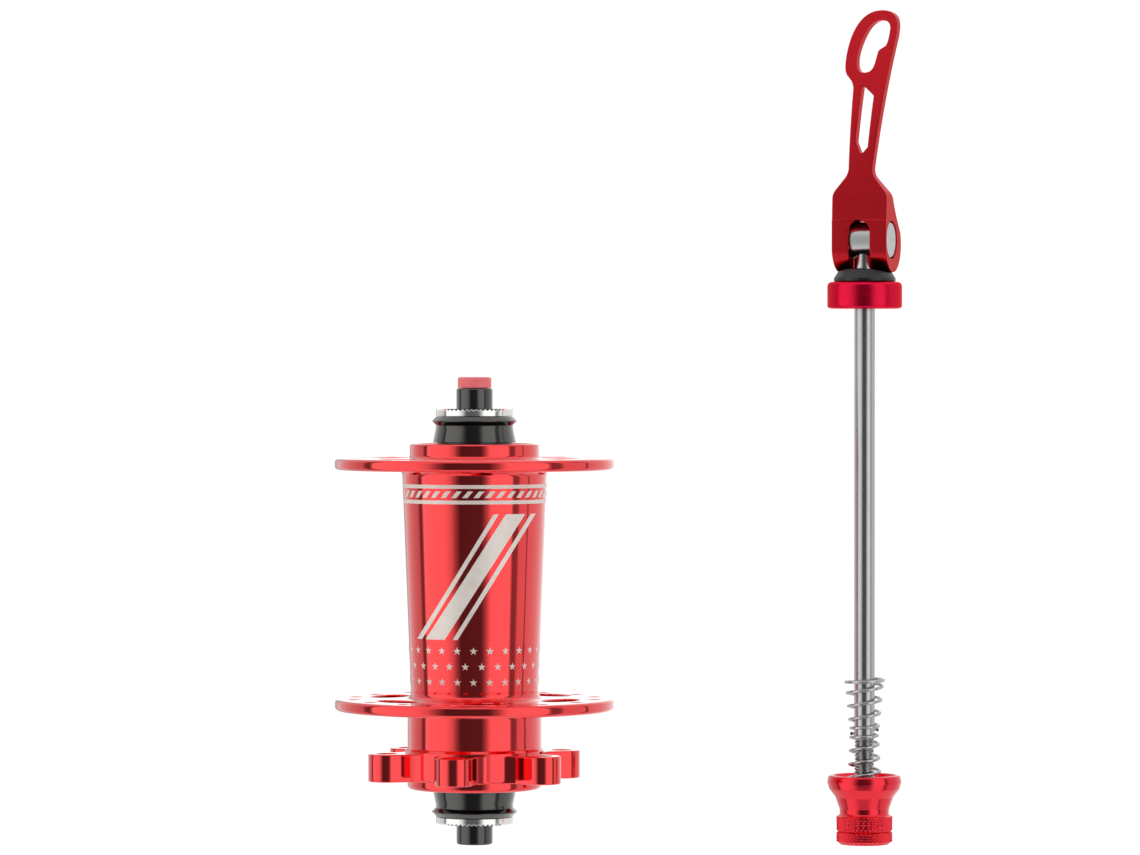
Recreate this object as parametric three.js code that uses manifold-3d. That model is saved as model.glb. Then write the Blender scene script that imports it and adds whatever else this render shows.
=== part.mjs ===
// Front hub assembly for a bicycle wheel with a disc brake, with the quick-release skewer that belongs to it.
// Millimetres. +Z runs along the hub's axle, with the disc side down, and the origin is the middle of the
// axle, halfway between the two locknut faces. The skewer stands beside the hub on the same level.

import * as THREE from 'three';
import { mergeVertices } from 'three/addons/utils/BufferGeometryUtils.js';
import Module from 'manifold-3d';

const wasm = await Module();
wasm.setup();

// Hub, overall
const OVER_LOCKNUTS = 100;
const AXLE_END_LENGTH = 5;
const AXLE_END_RADIUS = 4.4;
const AXLE_END_ROUND = 0.5;
const CAP_OUTSIDE_LENGTH = 8.4;

// Hub shell
const BOSS_WALL = 1.55;
const BOSS_HEIGHT = 3.5;
const FLANGE_RADIUS = 33.75;
const FLANGE_THICKNESS = 2.8;
const FLANGE_EDGE_ROUND = 0.9;
const DISC_SIDE_LENGTH = 21.8;
const BARREL_RADIUS_UPPER = 17.5;
const BARREL_RADIUS_LOWER = 15.35;
const BARREL_FILLET = 1.6;
const NECK_WALL = 2.1;
const SHELL_EDGE_ROUND = 0.8;
const SHELL_CORE_RADIUS = 12;

// Spoke holes and lightening holes
const SPOKE_HOLES_PER_FLANGE = 16;
const SPOKE_HOLE_RADIUS = 1.3;
const SPOKE_EDGE_DISTANCE = 4.35;
const LIGHTENING_HOLES = 6;
const LIGHTENING_CIRCLE_RADIUS = 22.4;
const LIGHTENING_HALF_RADIAL = 4.15;
const LIGHTENING_HALF_TANGENT = 6.75;
const LIGHTENING_ANGLE = -23;

// Six-bolt disc mount
const DISC_BOLTS = 6;
const DISC_BOLT_CIRCLE_RADIUS = 22;
const DISC_BOLT_HOLE_RADIUS = 2.25;
const DISC_LOBE_RADIUS = 4.5;
const DISC_LOBE_THICKNESS = 6.7;
const DISC_LOBE_ANGLE = 18;
const DISC_LOBE_ROOT_DEPTH = 1.3;
const DISC_HOLLOW_INSET = 0.9;
const DISC_SEAT_FROM_END = 2.2;

// Bearings
const BEARING_BORE_RADIUS = 7.5;
const BEARING_OUTER_RADIUS = 14;
const BEARING_WIDTH = 7;
const BEARING_RECESS = 1.2;
const RACE_GAP = 2.9;
const RACEWAY_DEPTH = 0.45;
const BALL_CLEARANCE = 0.1;
const BALLS_PER_BEARING = 11;
const CAGE_CLEARANCE = 0.9;
const CAGE_WIDTH = 2.8;
const SEAL_THICKNESS = 0.5;
const SEAL_RECESS = 0.15;

// Axle and end caps
const AXLE_SHOULDER_STEP = 1;
const AXLE_BORE_RADIUS = 6;
const SKEWER_BORE_CLEARANCE = 0.6;
const CAP_STEM_LENGTH = 8;
const CAP_CONE_OVERHANG = 1.05;
const CAP_WAIST_OVERHANG = 0.35;
const CAP_LIP_WIDTH = 1;
const CAP_LIP_HEIGHT = 2.1;
const CAP_GROOVE_HEIGHT = 0.7;
const O_RING_SECTION_RADIUS = 0.4;
const O_RING_FROM_FACE = 4;
const LOCKNUT_RING_THICKNESS = 1.8;
const LOCKNUT_TEETH = 36;
const LOCKNUT_TOOTH_DEPTH = 0.45;
const PLUG_HEAD_STEP = 0.35;
const PLUG_HEAD_HEIGHT = 2.6;
const PLUG_STEM_LENGTH = 4.5;
const PLUG_HEAD_ROUND = 0.5;

// Skewer
const SKEWER_GAP = 51.25;
const DROPOUT_THICKNESS = 6.2;
const LEVER_TURN = -19;
const ROD_RADIUS = 2.5;
const ROD_END_INSET = 0.8;
const ROD_IN_PIN = 2;
const ROD_CHAMFER = 0.5;
const COLLAR_RADIUS = 9;
const COLLAR_HEIGHT = 6.5;
const COLLAR_LOWER_ROUND = 0.7;
const COLLAR_UPPER_ROUND = 1.1;
const WASHER_RADIUS = 7.45;
const WASHER_HEIGHT = 3.2;
const WASHER_FLOOR = 2;
const WASHER_EDGE_HEIGHT = 0.7;
const WASHER_TOP_STEP = 1.7;
const WASHER_ROUND = 1.2;
const SADDLE_RADIUS = 14;
const PIN_RADIUS = 4.3;

// Lever: across is along the pin, depth is front to back, height is above the pin's axis
const LEVER_HALF_WIDTH = 6.8;
const LEVER_FRONT_WALL = 0.8;
const CAM_WALL = 2.6;
const CAM_OFFSET_BACK = 1.35;
const CAM_OFFSET_DOWN = 0.9;
const CAM_BACK_ANGLE = 25;
const LEVER_SLOT_CLEARANCE = 0.15;
const LEVER_SLOT_OVER_PIN = 0.3;
const LEVER_CREASE_OVER_SLOT = 0.2;
const LEVER_THICKNESS = 2.8;
const ARM_BEND_RADIUS = 110;
const ARM_START_LEAN = 4;
const ARM_BACK_START = 14;
const ARM_LENGTH = 55.5;
const ARM_NECK_HALF_WIDTH = 3;
const ARM_NECK_HEIGHT = 17.6;
const ARM_SHOULDER_HEIGHT = 9.9;
const HEAD_TOP = 56;

// Adjusting nut and springs
const NUT_HEIGHT = 16.7;
const NUT_KNURL_WALL = 2.75;
const NUT_WAIST_WALL = 1.9;
const NUT_WAIST_HEIGHT = 7.5;
const NUT_RIM_WALL = 3.5;
const NUT_CUP_FLOOR = 13;
const NUT_CUP_CLEARANCE = 1;
const NUT_FLOOR_THICKNESS = 1.6;
const NUT_EDGE_ROUND = 0.8;
const NUT_GROOVE_HEIGHT = 3.2;
const NUT_GROOVE_HALF_WIDTH = 0.3;
const NUT_GROOVE_DEPTH = 0.4;
const NUT_KNURL_CHAMFER = 0.5;
const NUT_NECK_WIDENING = 1.1;
const NUT_FLARE_FROM_TOP = 5.2;
const NUT_RIM_FROM_TOP = 2.7;
const NUT_RIM_WIDTH = 1.3;
const INSERT_WALL = 1.4;
const WIRE_RADIUS = 0.4;
const SPRING_NOSE_CLEARANCE = 0.2;
const LOWER_SPRING_FLARE = 0.9;
const LOWER_SPRING_LENGTH = 14;
const LOWER_SPRING_TURNS = 5.5;
const UPPER_SPRING_FLARE = 1.6;
const UPPER_SPRING_LENGTH = 13;
const UPPER_SPRING_TURNS = 5.25;
const SPRING_CLOSED_PITCH = 0.9;

// Clearances
const CONTACT_GAP = 0.05;
const RUNNING_GAP = 0.3;
const FIT_CLEARANCE = 0.1;
const PIN_CLEARANCE = 0.2;

const CUT_MARGIN = 1;

// Facets
const HUB_SIDES = 32;
const SKEWER_SIDES = 20;
const HOLE_SIDES = 8;
const FILLET_STEPS = 1;
const O_RING_SIDES = 5;
const CAM_STEPS = 14;
const ARM_STEPS = 7;
const SPRING_STEPS_PER_TURN = 12;

// Places that follow from the sizes above
const halfSpan = OVER_LOCKNUTS / 2;
const baseZ = -halfSpan - AXLE_END_LENGTH;
const shellEnd = halfSpan - CAP_OUTSIDE_LENGTH;
const bearingFace = shellEnd - BEARING_RECESS;
const bearingMiddle = bearingFace - BEARING_WIDTH / 2;
const upperFlangeTop = shellEnd - BOSS_HEIGHT;
const upperFlangeBottom = upperFlangeTop - FLANGE_THICKNESS;
const lowerFlangeTop = -shellEnd + DISC_SIDE_LENGTH;
const lowerFlangeBottom = lowerFlangeTop - FLANGE_THICKNESS;
const discSeat = -shellEnd + DISC_SEAT_FROM_END;
const seatRadius = BEARING_OUTER_RADIUS + FIT_CLEARANCE;
const bossRadius = seatRadius + BOSS_WALL;
const neckRadius = seatRadius + NECK_WALL;
const ballCircleRadius = (BEARING_BORE_RADIUS + BEARING_OUTER_RADIUS) / 2;
const raceThickness = (BEARING_OUTER_RADIUS - BEARING_BORE_RADIUS - RACE_GAP) / 2;
const innerRaceRadius = BEARING_BORE_RADIUS + raceThickness;
const outerRaceBore = BEARING_OUTER_RADIUS - raceThickness;
const ballRadius = RACE_GAP / 2 + RACEWAY_DEPTH - BALL_CLEARANCE;
const cageWall = RACE_GAP - 2 * CAGE_CLEARANCE;
const capStemRadius = AXLE_BORE_RADIUS - FIT_CLEARANCE - CONTACT_GAP;
const capFace = bearingFace + CONTACT_GAP;
const capShoulderRadius = innerRaceRadius - RUNNING_GAP;
const capWaistRadius = capShoulderRadius + CAP_WAIST_OVERHANG;
const rodClearRadius = ROD_RADIUS + FIT_CLEARANCE;
const skewerBoreRadius = ROD_RADIUS + SKEWER_BORE_CLEARANCE;
const ringSeat = halfSpan - LOCKNUT_RING_THICKNESS - CONTACT_GAP;
const skewerX = FLANGE_RADIUS + SKEWER_GAP + COLLAR_RADIUS;
const collarBottom = baseZ + NUT_HEIGHT + OVER_LOCKNUTS + 2 * DROPOUT_THICKNESS;
const washerBottom = collarBottom + COLLAR_HEIGHT + CONTACT_GAP;
const camRadius = PIN_RADIUS + CAM_WALL;
const leverFront = PIN_RADIUS + PIN_CLEARANCE + LEVER_FRONT_WALL;
const leverSlotTop = PIN_RADIUS + LEVER_SLOT_OVER_PIN;
const leverCrease = leverSlotTop + LEVER_CREASE_OVER_SLOT;
const camReach = camRadius + CAM_OFFSET_DOWN;
const pivotZ = washerBottom + WASHER_FLOOR + PIN_CLEARANCE + camReach;

const springNoseRadius = ROD_RADIUS + WIRE_RADIUS + SPRING_NOSE_CLEARANCE;
const lowerSpringRadius = springNoseRadius + LOWER_SPRING_FLARE;
const upperSpringRadius = springNoseRadius + UPPER_SPRING_FLARE;
const insertRadius = rodClearRadius + INSERT_WALL;
const nutCupFloorRadius = lowerSpringRadius + WIRE_RADIUS + NUT_CUP_CLEARANCE;

const degrees = THREE.MathUtils.degToRad;

// A solid for cutting and joining, from a closed geometry.
function solid(geometry) {
  const bare = geometry.clone();
  bare.deleteAttribute('normal');
  bare.deleteAttribute('uv');
  const merged = mergeVertices(bare, 1e-4);
  const corners = merged.index.array;
  const kept = [];
  for (let i = 0; i < corners.length; i += 3) {
    const [a, b, c] = [corners[i], corners[i + 1], corners[i + 2]];
    if (a !== b && b !== c && c !== a) {
      kept.push(a, b, c);
    }
  }
  return new wasm.Manifold(new wasm.Mesh({
    numProp: 3,
    vertProperties: new Float32Array(merged.attributes.position.array),
    triVerts: new Uint32Array(kept),
  }));
}

// The geometry of a finished solid.
function surface(body) {
  const mesh = body.getMesh();
  const geometry = new THREE.BufferGeometry();
  geometry.setAttribute('position', new THREE.BufferAttribute(new Float32Array(mesh.vertProperties), 3));
  geometry.setIndex(new THREE.BufferAttribute(new Uint32Array(mesh.triVerts), 1));
  geometry.computeVertexNormals();
  return geometry;
}

// A closed outline with its corners rounded. Each corner is [x, y] or [x, y, rounding radius].
function rounded(corners, steps = FILLET_STEPS) {
  const points = [];
  corners.forEach(([x, y, radius = 0], i) => {
    const here = new THREE.Vector2(x, y);
    if (radius === 0) {
      points.push(here);
      return;
    }
    const [beforeX, beforeY] = corners[(i + corners.length - 1) % corners.length];
    const [afterX, afterY] = corners[(i + 1) % corners.length];
    const back = new THREE.Vector2(beforeX, beforeY).sub(here);
    const ahead = new THREE.Vector2(afterX, afterY).sub(here);
    const room = Math.min(back.length(), ahead.length()) * 0.49;
    const cosine = back.dot(ahead) / (back.length() * ahead.length());
    const halfAngle = Math.acos(THREE.MathUtils.clamp(cosine, -1, 1)) / 2;
    const trim = Math.min(radius / Math.tan(halfAngle), room);
    const start = here.clone().addScaledVector(back.normalize(), trim);
    const end = here.clone().addScaledVector(ahead.normalize(), trim);
    const bisector = back.clone().add(ahead).normalize();
    const centre = here.clone().addScaledVector(bisector, trim / Math.cos(halfAngle));
    const from = start.clone().sub(centre);
    const to = end.clone().sub(centre);
    const sweep = Math.atan2(from.cross(to), from.dot(to));
    for (let k = 0; k <= steps; k += 1) {
      points.push(from.clone().rotateAround(new THREE.Vector2(), (sweep * k) / steps).add(centre));
    }
  });
  return points;
}

// A turned piece about the Z axis. Each corner is [radius, height] or [radius, height, rounding radius].
function turned(corners, sides, steps = FILLET_STEPS) {
  const outline = rounded(corners, steps);
  if (THREE.ShapeUtils.area(outline) < 0) {
    outline.reverse();
  }
  outline.push(outline[0].clone());
  return new THREE.LatheGeometry(outline, sides).rotateX(Math.PI / 2);
}

function turnedSolid(corners, sides, steps) {
  return solid(turned(corners, sides, steps));
}

// An upright round bar from one height to another.
function upright(radius, low, high, sides) {
  const bar = new THREE.CylinderGeometry(radius, radius, high - low, sides);
  return bar.rotateX(Math.PI / 2).translate(0, 0, (low + high) / 2);
}

function atAngle(geometry, angle, radius) {
  return geometry.translate(radius, 0, 0).rotateZ(degrees(angle));
}

// Flange holes through one flange: spoke holes and oval lightening holes.
function flangeHoles(low, high, spokeAngle) {
  const cutters = [];
  for (let i = 0; i < SPOKE_HOLES_PER_FLANGE; i += 1) {
    const angle = spokeAngle + (360 * i) / SPOKE_HOLES_PER_FLANGE;
    const drill = upright(SPOKE_HOLE_RADIUS, low - CUT_MARGIN, high + CUT_MARGIN, HOLE_SIDES);
    cutters.push(solid(atAngle(drill, angle, FLANGE_RADIUS - SPOKE_EDGE_DISTANCE)));
  }
  for (let i = 0; i < LIGHTENING_HOLES; i += 1) {
    const angle = LIGHTENING_ANGLE + (360 * i) / LIGHTENING_HOLES;
    const oval = upright(1, low - CUT_MARGIN, high + CUT_MARGIN, 2 * HOLE_SIDES);
    oval.scale(LIGHTENING_HALF_RADIAL, LIGHTENING_HALF_TANGENT, 1);
    cutters.push(solid(atAngle(oval, angle, LIGHTENING_CIRCLE_RADIUS)));
  }
  return cutters;
}

// The outline of the disc mount: six lobes with hollows between them.
function discMountShape() {
  const shape = new THREE.Shape();
  const lobeRoot = neckRadius + DISC_LOBE_ROOT_DEPTH;
  const hollowBend = neckRadius - DISC_HOLLOW_INSET;
  const pitch = (2 * Math.PI) / DISC_BOLTS;
  for (let i = 0; i <= DISC_BOLTS; i += 1) {
    const angle = degrees(DISC_LOBE_ANGLE) + i * pitch;
    const out = new THREE.Vector2(Math.cos(angle), Math.sin(angle));
    const side = new THREE.Vector2(-out.y, out.x);
    const root = out.clone().multiplyScalar(lobeRoot).addScaledVector(side, -DISC_LOBE_RADIUS);
    if (i === 0) {
      shape.moveTo(root.x, root.y);
    } else {
      const hollow = angle - pitch / 2;
      shape.quadraticCurveTo(Math.cos(hollow) * hollowBend, Math.sin(hollow) * hollowBend, root.x, root.y);
    }
    if (i < DISC_BOLTS) {
      const tip = out.clone().multiplyScalar(DISC_BOLT_CIRCLE_RADIUS);
      const farRoot = out.clone().multiplyScalar(lobeRoot).addScaledVector(side, DISC_LOBE_RADIUS);
      shape.absarc(tip.x, tip.y, DISC_LOBE_RADIUS, angle - Math.PI / 2, angle + Math.PI / 2, false);
      shape.lineTo(farRoot.x, farRoot.y);
    }
  }
  return shape;
}

function hubShell() {
  const seatFloor = bearingFace - BEARING_WIDTH - CONTACT_GAP;
  const body = turnedSolid([
    [seatRadius, shellEnd],
    [bossRadius, shellEnd, SHELL_EDGE_ROUND],
    [bossRadius, upperFlangeTop, BARREL_FILLET / 2],
    [FLANGE_RADIUS, upperFlangeTop, FLANGE_EDGE_ROUND],
    [FLANGE_RADIUS, upperFlangeBottom, FLANGE_EDGE_ROUND],
    [BARREL_RADIUS_UPPER, upperFlangeBottom, BARREL_FILLET],
    [BARREL_RADIUS_LOWER, lowerFlangeTop, BARREL_FILLET],
    [FLANGE_RADIUS, lowerFlangeTop, FLANGE_EDGE_ROUND],
    [FLANGE_RADIUS, lowerFlangeBottom, FLANGE_EDGE_ROUND],
    [neckRadius, lowerFlangeBottom, BARREL_FILLET],
    [neckRadius, -shellEnd, SHELL_EDGE_ROUND],
    [seatRadius, -shellEnd],
    [seatRadius, -seatFloor],
    [SHELL_CORE_RADIUS, -seatFloor],
    [SHELL_CORE_RADIUS, seatFloor],
    [seatRadius, seatFloor],
  ], HUB_SIDES);
  const lobes = new THREE.ExtrudeGeometry(discMountShape(), {
    depth: DISC_LOBE_THICKNESS,
    bevelEnabled: false,
    curveSegments: 5,
  }).translate(0, 0, discSeat);
  const core = solid(upright(neckRadius - CUT_MARGIN, -shellEnd - CUT_MARGIN, shellEnd, HUB_SIDES));
  let shell = body.add(solid(lobes).subtract(core));
  const halfPitch = 180 / SPOKE_HOLES_PER_FLANGE;
  const cutters = [
    ...flangeHoles(upperFlangeBottom, upperFlangeTop, 0),
    ...flangeHoles(lowerFlangeBottom, lowerFlangeTop, halfPitch),
  ];
  for (let i = 0; i < DISC_BOLTS; i += 1) {
    const angle = DISC_LOBE_ANGLE + (360 * i) / DISC_BOLTS;
    const high = discSeat + DISC_LOBE_THICKNESS + CUT_MARGIN;
    const drill = upright(DISC_BOLT_HOLE_RADIUS, discSeat - CUT_MARGIN, high, HOLE_SIDES);
    cutters.push(solid(atAngle(drill, angle, DISC_BOLT_CIRCLE_RADIUS)));
  }
  for (const cutter of cutters) {
    shell = shell.subtract(cutter);
  }
  return surface(shell);
}

function axle() {
  const outside = BEARING_BORE_RADIUS - FIT_CLEARANCE / 2;
  const shoulder = bearingFace - BEARING_WIDTH - CONTACT_GAP;
  const end = bearingFace - CONTACT_GAP;
  return turned([
    [AXLE_BORE_RADIUS, -end],
    [outside, -end],
    [outside, -shoulder],
    [BEARING_BORE_RADIUS + AXLE_SHOULDER_STEP, -shoulder],
    [BEARING_BORE_RADIUS + AXLE_SHOULDER_STEP, shoulder],
    [outside, shoulder],
    [outside, end],
    [AXLE_BORE_RADIUS, end],
  ], HUB_SIDES);
}

// The top end cap, with its stem down in the axle's bore and the axle end up.
function endCap() {
  const stemEnd = capFace - CAP_STEM_LENGTH;
  const grooveFloor = capStemRadius - 2 * O_RING_SECTION_RADIUS;
  const grooveMiddle = capFace - O_RING_FROM_FACE;
  const grooveHalf = O_RING_SECTION_RADIUS + FIT_CLEARANCE;
  const lipFoot = ringSeat - CAP_LIP_HEIGHT;
  return turned([
    [skewerBoreRadius, stemEnd],
    [capStemRadius, stemEnd],
    [capStemRadius, grooveMiddle - grooveHalf],
    [grooveFloor, grooveMiddle - grooveHalf],
    [grooveFloor, grooveMiddle + grooveHalf],
    [capStemRadius, grooveMiddle + grooveHalf],
    [capStemRadius, capFace],
    [capShoulderRadius, capFace],
    [capShoulderRadius, shellEnd + RUNNING_GAP],
    [capShoulderRadius + CAP_CONE_OVERHANG, shellEnd + RUNNING_GAP],
    [capWaistRadius, lipFoot - CAP_GROOVE_HEIGHT],
    [capWaistRadius, lipFoot],
    [capWaistRadius + CAP_LIP_WIDTH, (lipFoot + ringSeat) / 2],
    [capWaistRadius, ringSeat],
    [AXLE_END_RADIUS, ringSeat],
    [AXLE_END_RADIUS, -baseZ, AXLE_END_ROUND],
    [skewerBoreRadius, -baseZ],
  ], HUB_SIDES);
}

function oRing() {
  const grooveFloor = capStemRadius - 2 * O_RING_SECTION_RADIUS;
  const middle = grooveFloor + O_RING_SECTION_RADIUS + CONTACT_GAP;
  const height = capFace - O_RING_FROM_FACE;
  const section = new THREE.Path().absarc(middle, height, O_RING_SECTION_RADIUS, 0, 2 * Math.PI);
  const corners = section.getSpacedPoints(O_RING_SIDES).slice(1).map((point) => [point.x, point.y]);
  return turned(corners, HUB_SIDES);
}

// A washer whose outer face has radial teeth: every other facet edge is lowered by the tooth depth.
function locknutRing() {
  const corners = [
    [AXLE_END_RADIUS + FIT_CLEARANCE, halfSpan - LOCKNUT_RING_THICKNESS],
    [capWaistRadius, halfSpan - LOCKNUT_RING_THICKNESS],
    [capWaistRadius, halfSpan],
    [AXLE_END_RADIUS + FIT_CLEARANCE, halfSpan],
  ];
  const ring = turned(corners, 2 * LOCKNUT_TEETH);
  const places = ring.attributes.position;
  const rowLength = corners.length + 1;
  for (let i = 0; i < places.count; i += 1) {
    const inValley = Math.floor(i / rowLength) % 2 === 1;
    if (inValley && places.getZ(i) > halfSpan - LOCKNUT_TOOTH_DEPTH) {
      places.setZ(i, halfSpan - LOCKNUT_TOOTH_DEPTH);
    }
  }
  return ring;
}

function axlePlug() {
  const headFoot = -baseZ + CONTACT_GAP;
  const stemRadius = skewerBoreRadius - FIT_CLEARANCE;
  return surface(turnedSolid([
    [0, headFoot - PLUG_STEM_LENGTH],
    [stemRadius, headFoot - PLUG_STEM_LENGTH],
    [stemRadius, headFoot],
    [AXLE_END_RADIUS - PLUG_HEAD_STEP, headFoot],
    [AXLE_END_RADIUS - PLUG_HEAD_STEP, headFoot + PLUG_HEAD_HEIGHT, PLUG_HEAD_ROUND],
    [0, headFoot + PLUG_HEAD_HEIGHT],
  ], SKEWER_SIDES));
}

function outerRace() {
  const half = BEARING_WIDTH / 2;
  return turned([
    [outerRaceBore, -half],
    [BEARING_OUTER_RADIUS, -half],
    [BEARING_OUTER_RADIUS, half],
    [outerRaceBore, half],
    [outerRaceBore, ballRadius],
    [outerRaceBore + RACEWAY_DEPTH, 0],
    [outerRaceBore, -ballRadius],
  ], HUB_SIDES);
}

function innerRace() {
  const half = BEARING_WIDTH / 2;
  return turned([
    [BEARING_BORE_RADIUS, -half],
    [innerRaceRadius, -half],
    [innerRaceRadius, -ballRadius],
    [innerRaceRadius - RACEWAY_DEPTH, 0],
    [innerRaceRadius, ballRadius],
    [innerRaceRadius, half],
    [BEARING_BORE_RADIUS, half],
  ], HUB_SIDES);
}

// The ball cage with its balls, which turn about the axle together.
function ballCage() {
  let body = turnedSolid([
    [ballCircleRadius - cageWall / 2, -CAGE_WIDTH / 2],
    [ballCircleRadius + cageWall / 2, -CAGE_WIDTH / 2],
    [ballCircleRadius + cageWall / 2, CAGE_WIDTH / 2],
    [ballCircleRadius - cageWall / 2, CAGE_WIDTH / 2],
  ], BALLS_PER_BEARING);
  for (let i = 0; i < BALLS_PER_BEARING; i += 1) {
    const ball = new THREE.IcosahedronGeometry(ballRadius, 0);
    body = body.add(solid(atAngle(ball, (360 * i) / BALLS_PER_BEARING, ballCircleRadius)));
  }
  return surface(body);
}

// A rubber seal, just inside one face of a bearing. The side is 1 for the upper face and -1 for the lower.
function bearingSeal(side) {
  const outer = outerRaceBore - FIT_CLEARANCE;
  const inner = innerRaceRadius + FIT_CLEARANCE;
  const face = side * (BEARING_WIDTH / 2 - SEAL_RECESS);
  const back = face - side * SEAL_THICKNESS;
  return turned([[inner, back], [outer, back], [outer, face], [inner, face]], HUB_SIDES);
}

function skewerRod() {
  const low = baseZ + ROD_END_INSET;
  const high = pivotZ + ROD_IN_PIN;
  return surface(turnedSolid([
    [0, low],
    [ROD_RADIUS - ROD_CHAMFER, low],
    [ROD_RADIUS, low + ROD_CHAMFER],
    [ROD_RADIUS, high - ROD_CHAMFER],
    [ROD_RADIUS - ROD_CHAMFER, high],
    [0, high],
  ], SKEWER_SIDES));
}

function extruded(shape, depth, curveSegments) {
  return new THREE.ExtrudeGeometry(shape, { depth, bevelEnabled: false, curveSegments });
}

// An outline in the lever's depth and height, pushed out across the lever.
function acrossLever(shape, halfWidth, curveSegments) {
  const block = extruded(shape, 2 * halfWidth, curveSegments);
  const turn = new THREE.Matrix4().makeBasis(
    new THREE.Vector3(0, 1, 0),
    new THREE.Vector3(0, 0, 1),
    new THREE.Vector3(1, 0, 0),
  );
  return solid(block.translate(0, 0, -halfWidth).applyMatrix4(turn));
}

// An outline in the lever's width and height, pushed through it from back to front.
function throughLever(shape, curveSegments) {
  const reach = ARM_LENGTH;
  const block = extruded(shape, 2 * reach, curveSegments);
  return solid(block.translate(0, 0, -reach).rotateX(Math.PI / 2));
}

// A point on the arm's front face, or on its back face, at a distance along the arm from the crease.
function armPoint(along, fromFront) {
  const start = degrees(ARM_START_LEAN);
  const lean = start + along / ARM_BEND_RADIUS;
  const depth = -leverFront + ARM_BEND_RADIUS * (Math.cos(start) - Math.cos(lean));
  const height = leverCrease + ARM_BEND_RADIUS * (Math.sin(lean) - Math.sin(start));
  return new THREE.Vector2(depth + fromFront * Math.cos(lean), height - fromFront * Math.sin(lean));
}

// The lever from the side: an eccentric cam round the pin, and a thin arm that bends back.
function leverSideShape() {
  const frontFromCam = leverFront + CAM_OFFSET_BACK;
  const frontAngle = Math.PI + Math.acos(frontFromCam / camRadius);
  const backAngle = 2 * Math.PI + degrees(CAM_BACK_ANGLE);
  const shape = new THREE.Shape();
  const crease = armPoint(0, 0);
  const bend = armPoint(ARM_BACK_START / 2, LEVER_THICKNESS);
  const armStart = armPoint(ARM_BACK_START, LEVER_THICKNESS);
  shape.moveTo(crease.x, crease.y);
  shape.absarc(CAM_OFFSET_BACK, -CAM_OFFSET_DOWN, camRadius, frontAngle, backAngle, false);
  shape.quadraticCurveTo(bend.x, bend.y, armStart.x, armStart.y);
  for (let i = 1; i <= ARM_STEPS; i += 1) {
    const along = ARM_BACK_START + ((ARM_LENGTH - ARM_BACK_START) * i) / ARM_STEPS;
    const point = armPoint(along, LEVER_THICKNESS);
    shape.lineTo(point.x, point.y);
  }
  for (let i = ARM_STEPS + 1; i > 0; i -= 1) {
    const point = armPoint((ARM_LENGTH * i) / (ARM_STEPS + 1), 0);
    shape.lineTo(point.x, point.y);
  }
  return shape;
}

// The lever from the front: a broad block at the pin, a narrow neck and a rounded head.
// The bare numbers in this outline and the next two are offsets in millimetres that shape their curves.
function leverFrontShape() {
  const wide = LEVER_HALF_WIDTH;
  const neck = ARM_NECK_HALF_WIDTH;
  const shape = new THREE.Shape();
  shape.moveTo(-wide, -2 * camRadius);
  shape.lineTo(wide, -2 * camRadius);
  shape.lineTo(wide, ARM_SHOULDER_HEIGHT);
  shape.quadraticCurveTo(wide, ARM_SHOULDER_HEIGHT + 1.1, wide - 0.9, ARM_SHOULDER_HEIGHT + 2.1);
  shape.lineTo(neck + 0.6, ARM_NECK_HEIGHT - 2.7);
  shape.quadraticCurveTo(neck - 0.25, ARM_NECK_HEIGHT - 1.6, neck - 0.05, ARM_NECK_HEIGHT);
  shape.lineTo(neck + 2.55, HEAD_TOP - 7);
  shape.bezierCurveTo(neck + 2.8, HEAD_TOP - 2.4, neck + 1.6, HEAD_TOP, neck - 2.1, HEAD_TOP);
  shape.bezierCurveTo(-neck + 0.4, HEAD_TOP, -neck - 1.6, HEAD_TOP - 2.4, -neck - 2.6, HEAD_TOP - 6.4);
  shape.bezierCurveTo(-neck - 3.3, HEAD_TOP - 9.4, -neck - 3.4, HEAD_TOP - 13, -neck - 3, HEAD_TOP - 14.8);
  shape.bezierCurveTo(-neck - 2.5, HEAD_TOP - 17, -neck - 0.6, HEAD_TOP - 17, -neck - 0.4, HEAD_TOP - 20);
  shape.lineTo(-neck - 0.05, ARM_NECK_HEIGHT);
  shape.quadraticCurveTo(-neck + 0.05, ARM_NECK_HEIGHT - 1.6, -neck - 0.9, ARM_NECK_HEIGHT - 2.8);
  shape.lineTo(-wide + 0.7, ARM_SHOULDER_HEIGHT + 2.1);
  shape.quadraticCurveTo(-wide, ARM_SHOULDER_HEIGHT + 1.2, -wide, ARM_SHOULDER_HEIGHT);
  return shape;
}

// The finger hole in the lever's head, which narrows below a step on one side.
function fingerHoleShape() {
  const top = HEAD_TOP - 2.5;
  const shape = new THREE.Shape();
  shape.moveTo(-1.2, top - 13);
  shape.bezierCurveTo(0.2, top - 13, 1, top - 12.3, 1.25, top - 10.3);
  shape.lineTo(1.6, top - 7.9);
  shape.bezierCurveTo(1.8, top - 7.2, 2.6, top - 7, 3.2, top - 6.5);
  shape.bezierCurveTo(3.7, top - 6, 3.85, top - 4.5, 3.8, top - 2.3);
  shape.bezierCurveTo(3.7, top - 0.5, 2.4, top + 0.1, 0.9, top - 0.1);
  shape.bezierCurveTo(-1.4, top - 0.3, -2.2, top - 2.9, -2.8, top - 4.9);
  shape.bezierCurveTo(-3.4, top - 7.1, -3.7, top - 8.9, -3.35, top - 10.9);
  shape.bezierCurveTo(-3.1, top - 12.3, -2.3, top - 13, -1.2, top - 13);
  return shape;
}

// The plain slot that lightens the arm between its neck and its head.
function armSlotShape() {
  const low = ARM_NECK_HEIGHT + 2.8;
  const high = HEAD_TOP - 18.4;
  return new THREE.Shape(rounded([
    [-0.2, low, 0.6],
    [1.4, low + 1.9, 0.4],
    [1.85, high - 2.8, 0.6],
    [-1.3, high, 0.5],
    [-1.65, low + 3.2, 0.5],
  ], 2));
}

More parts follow.
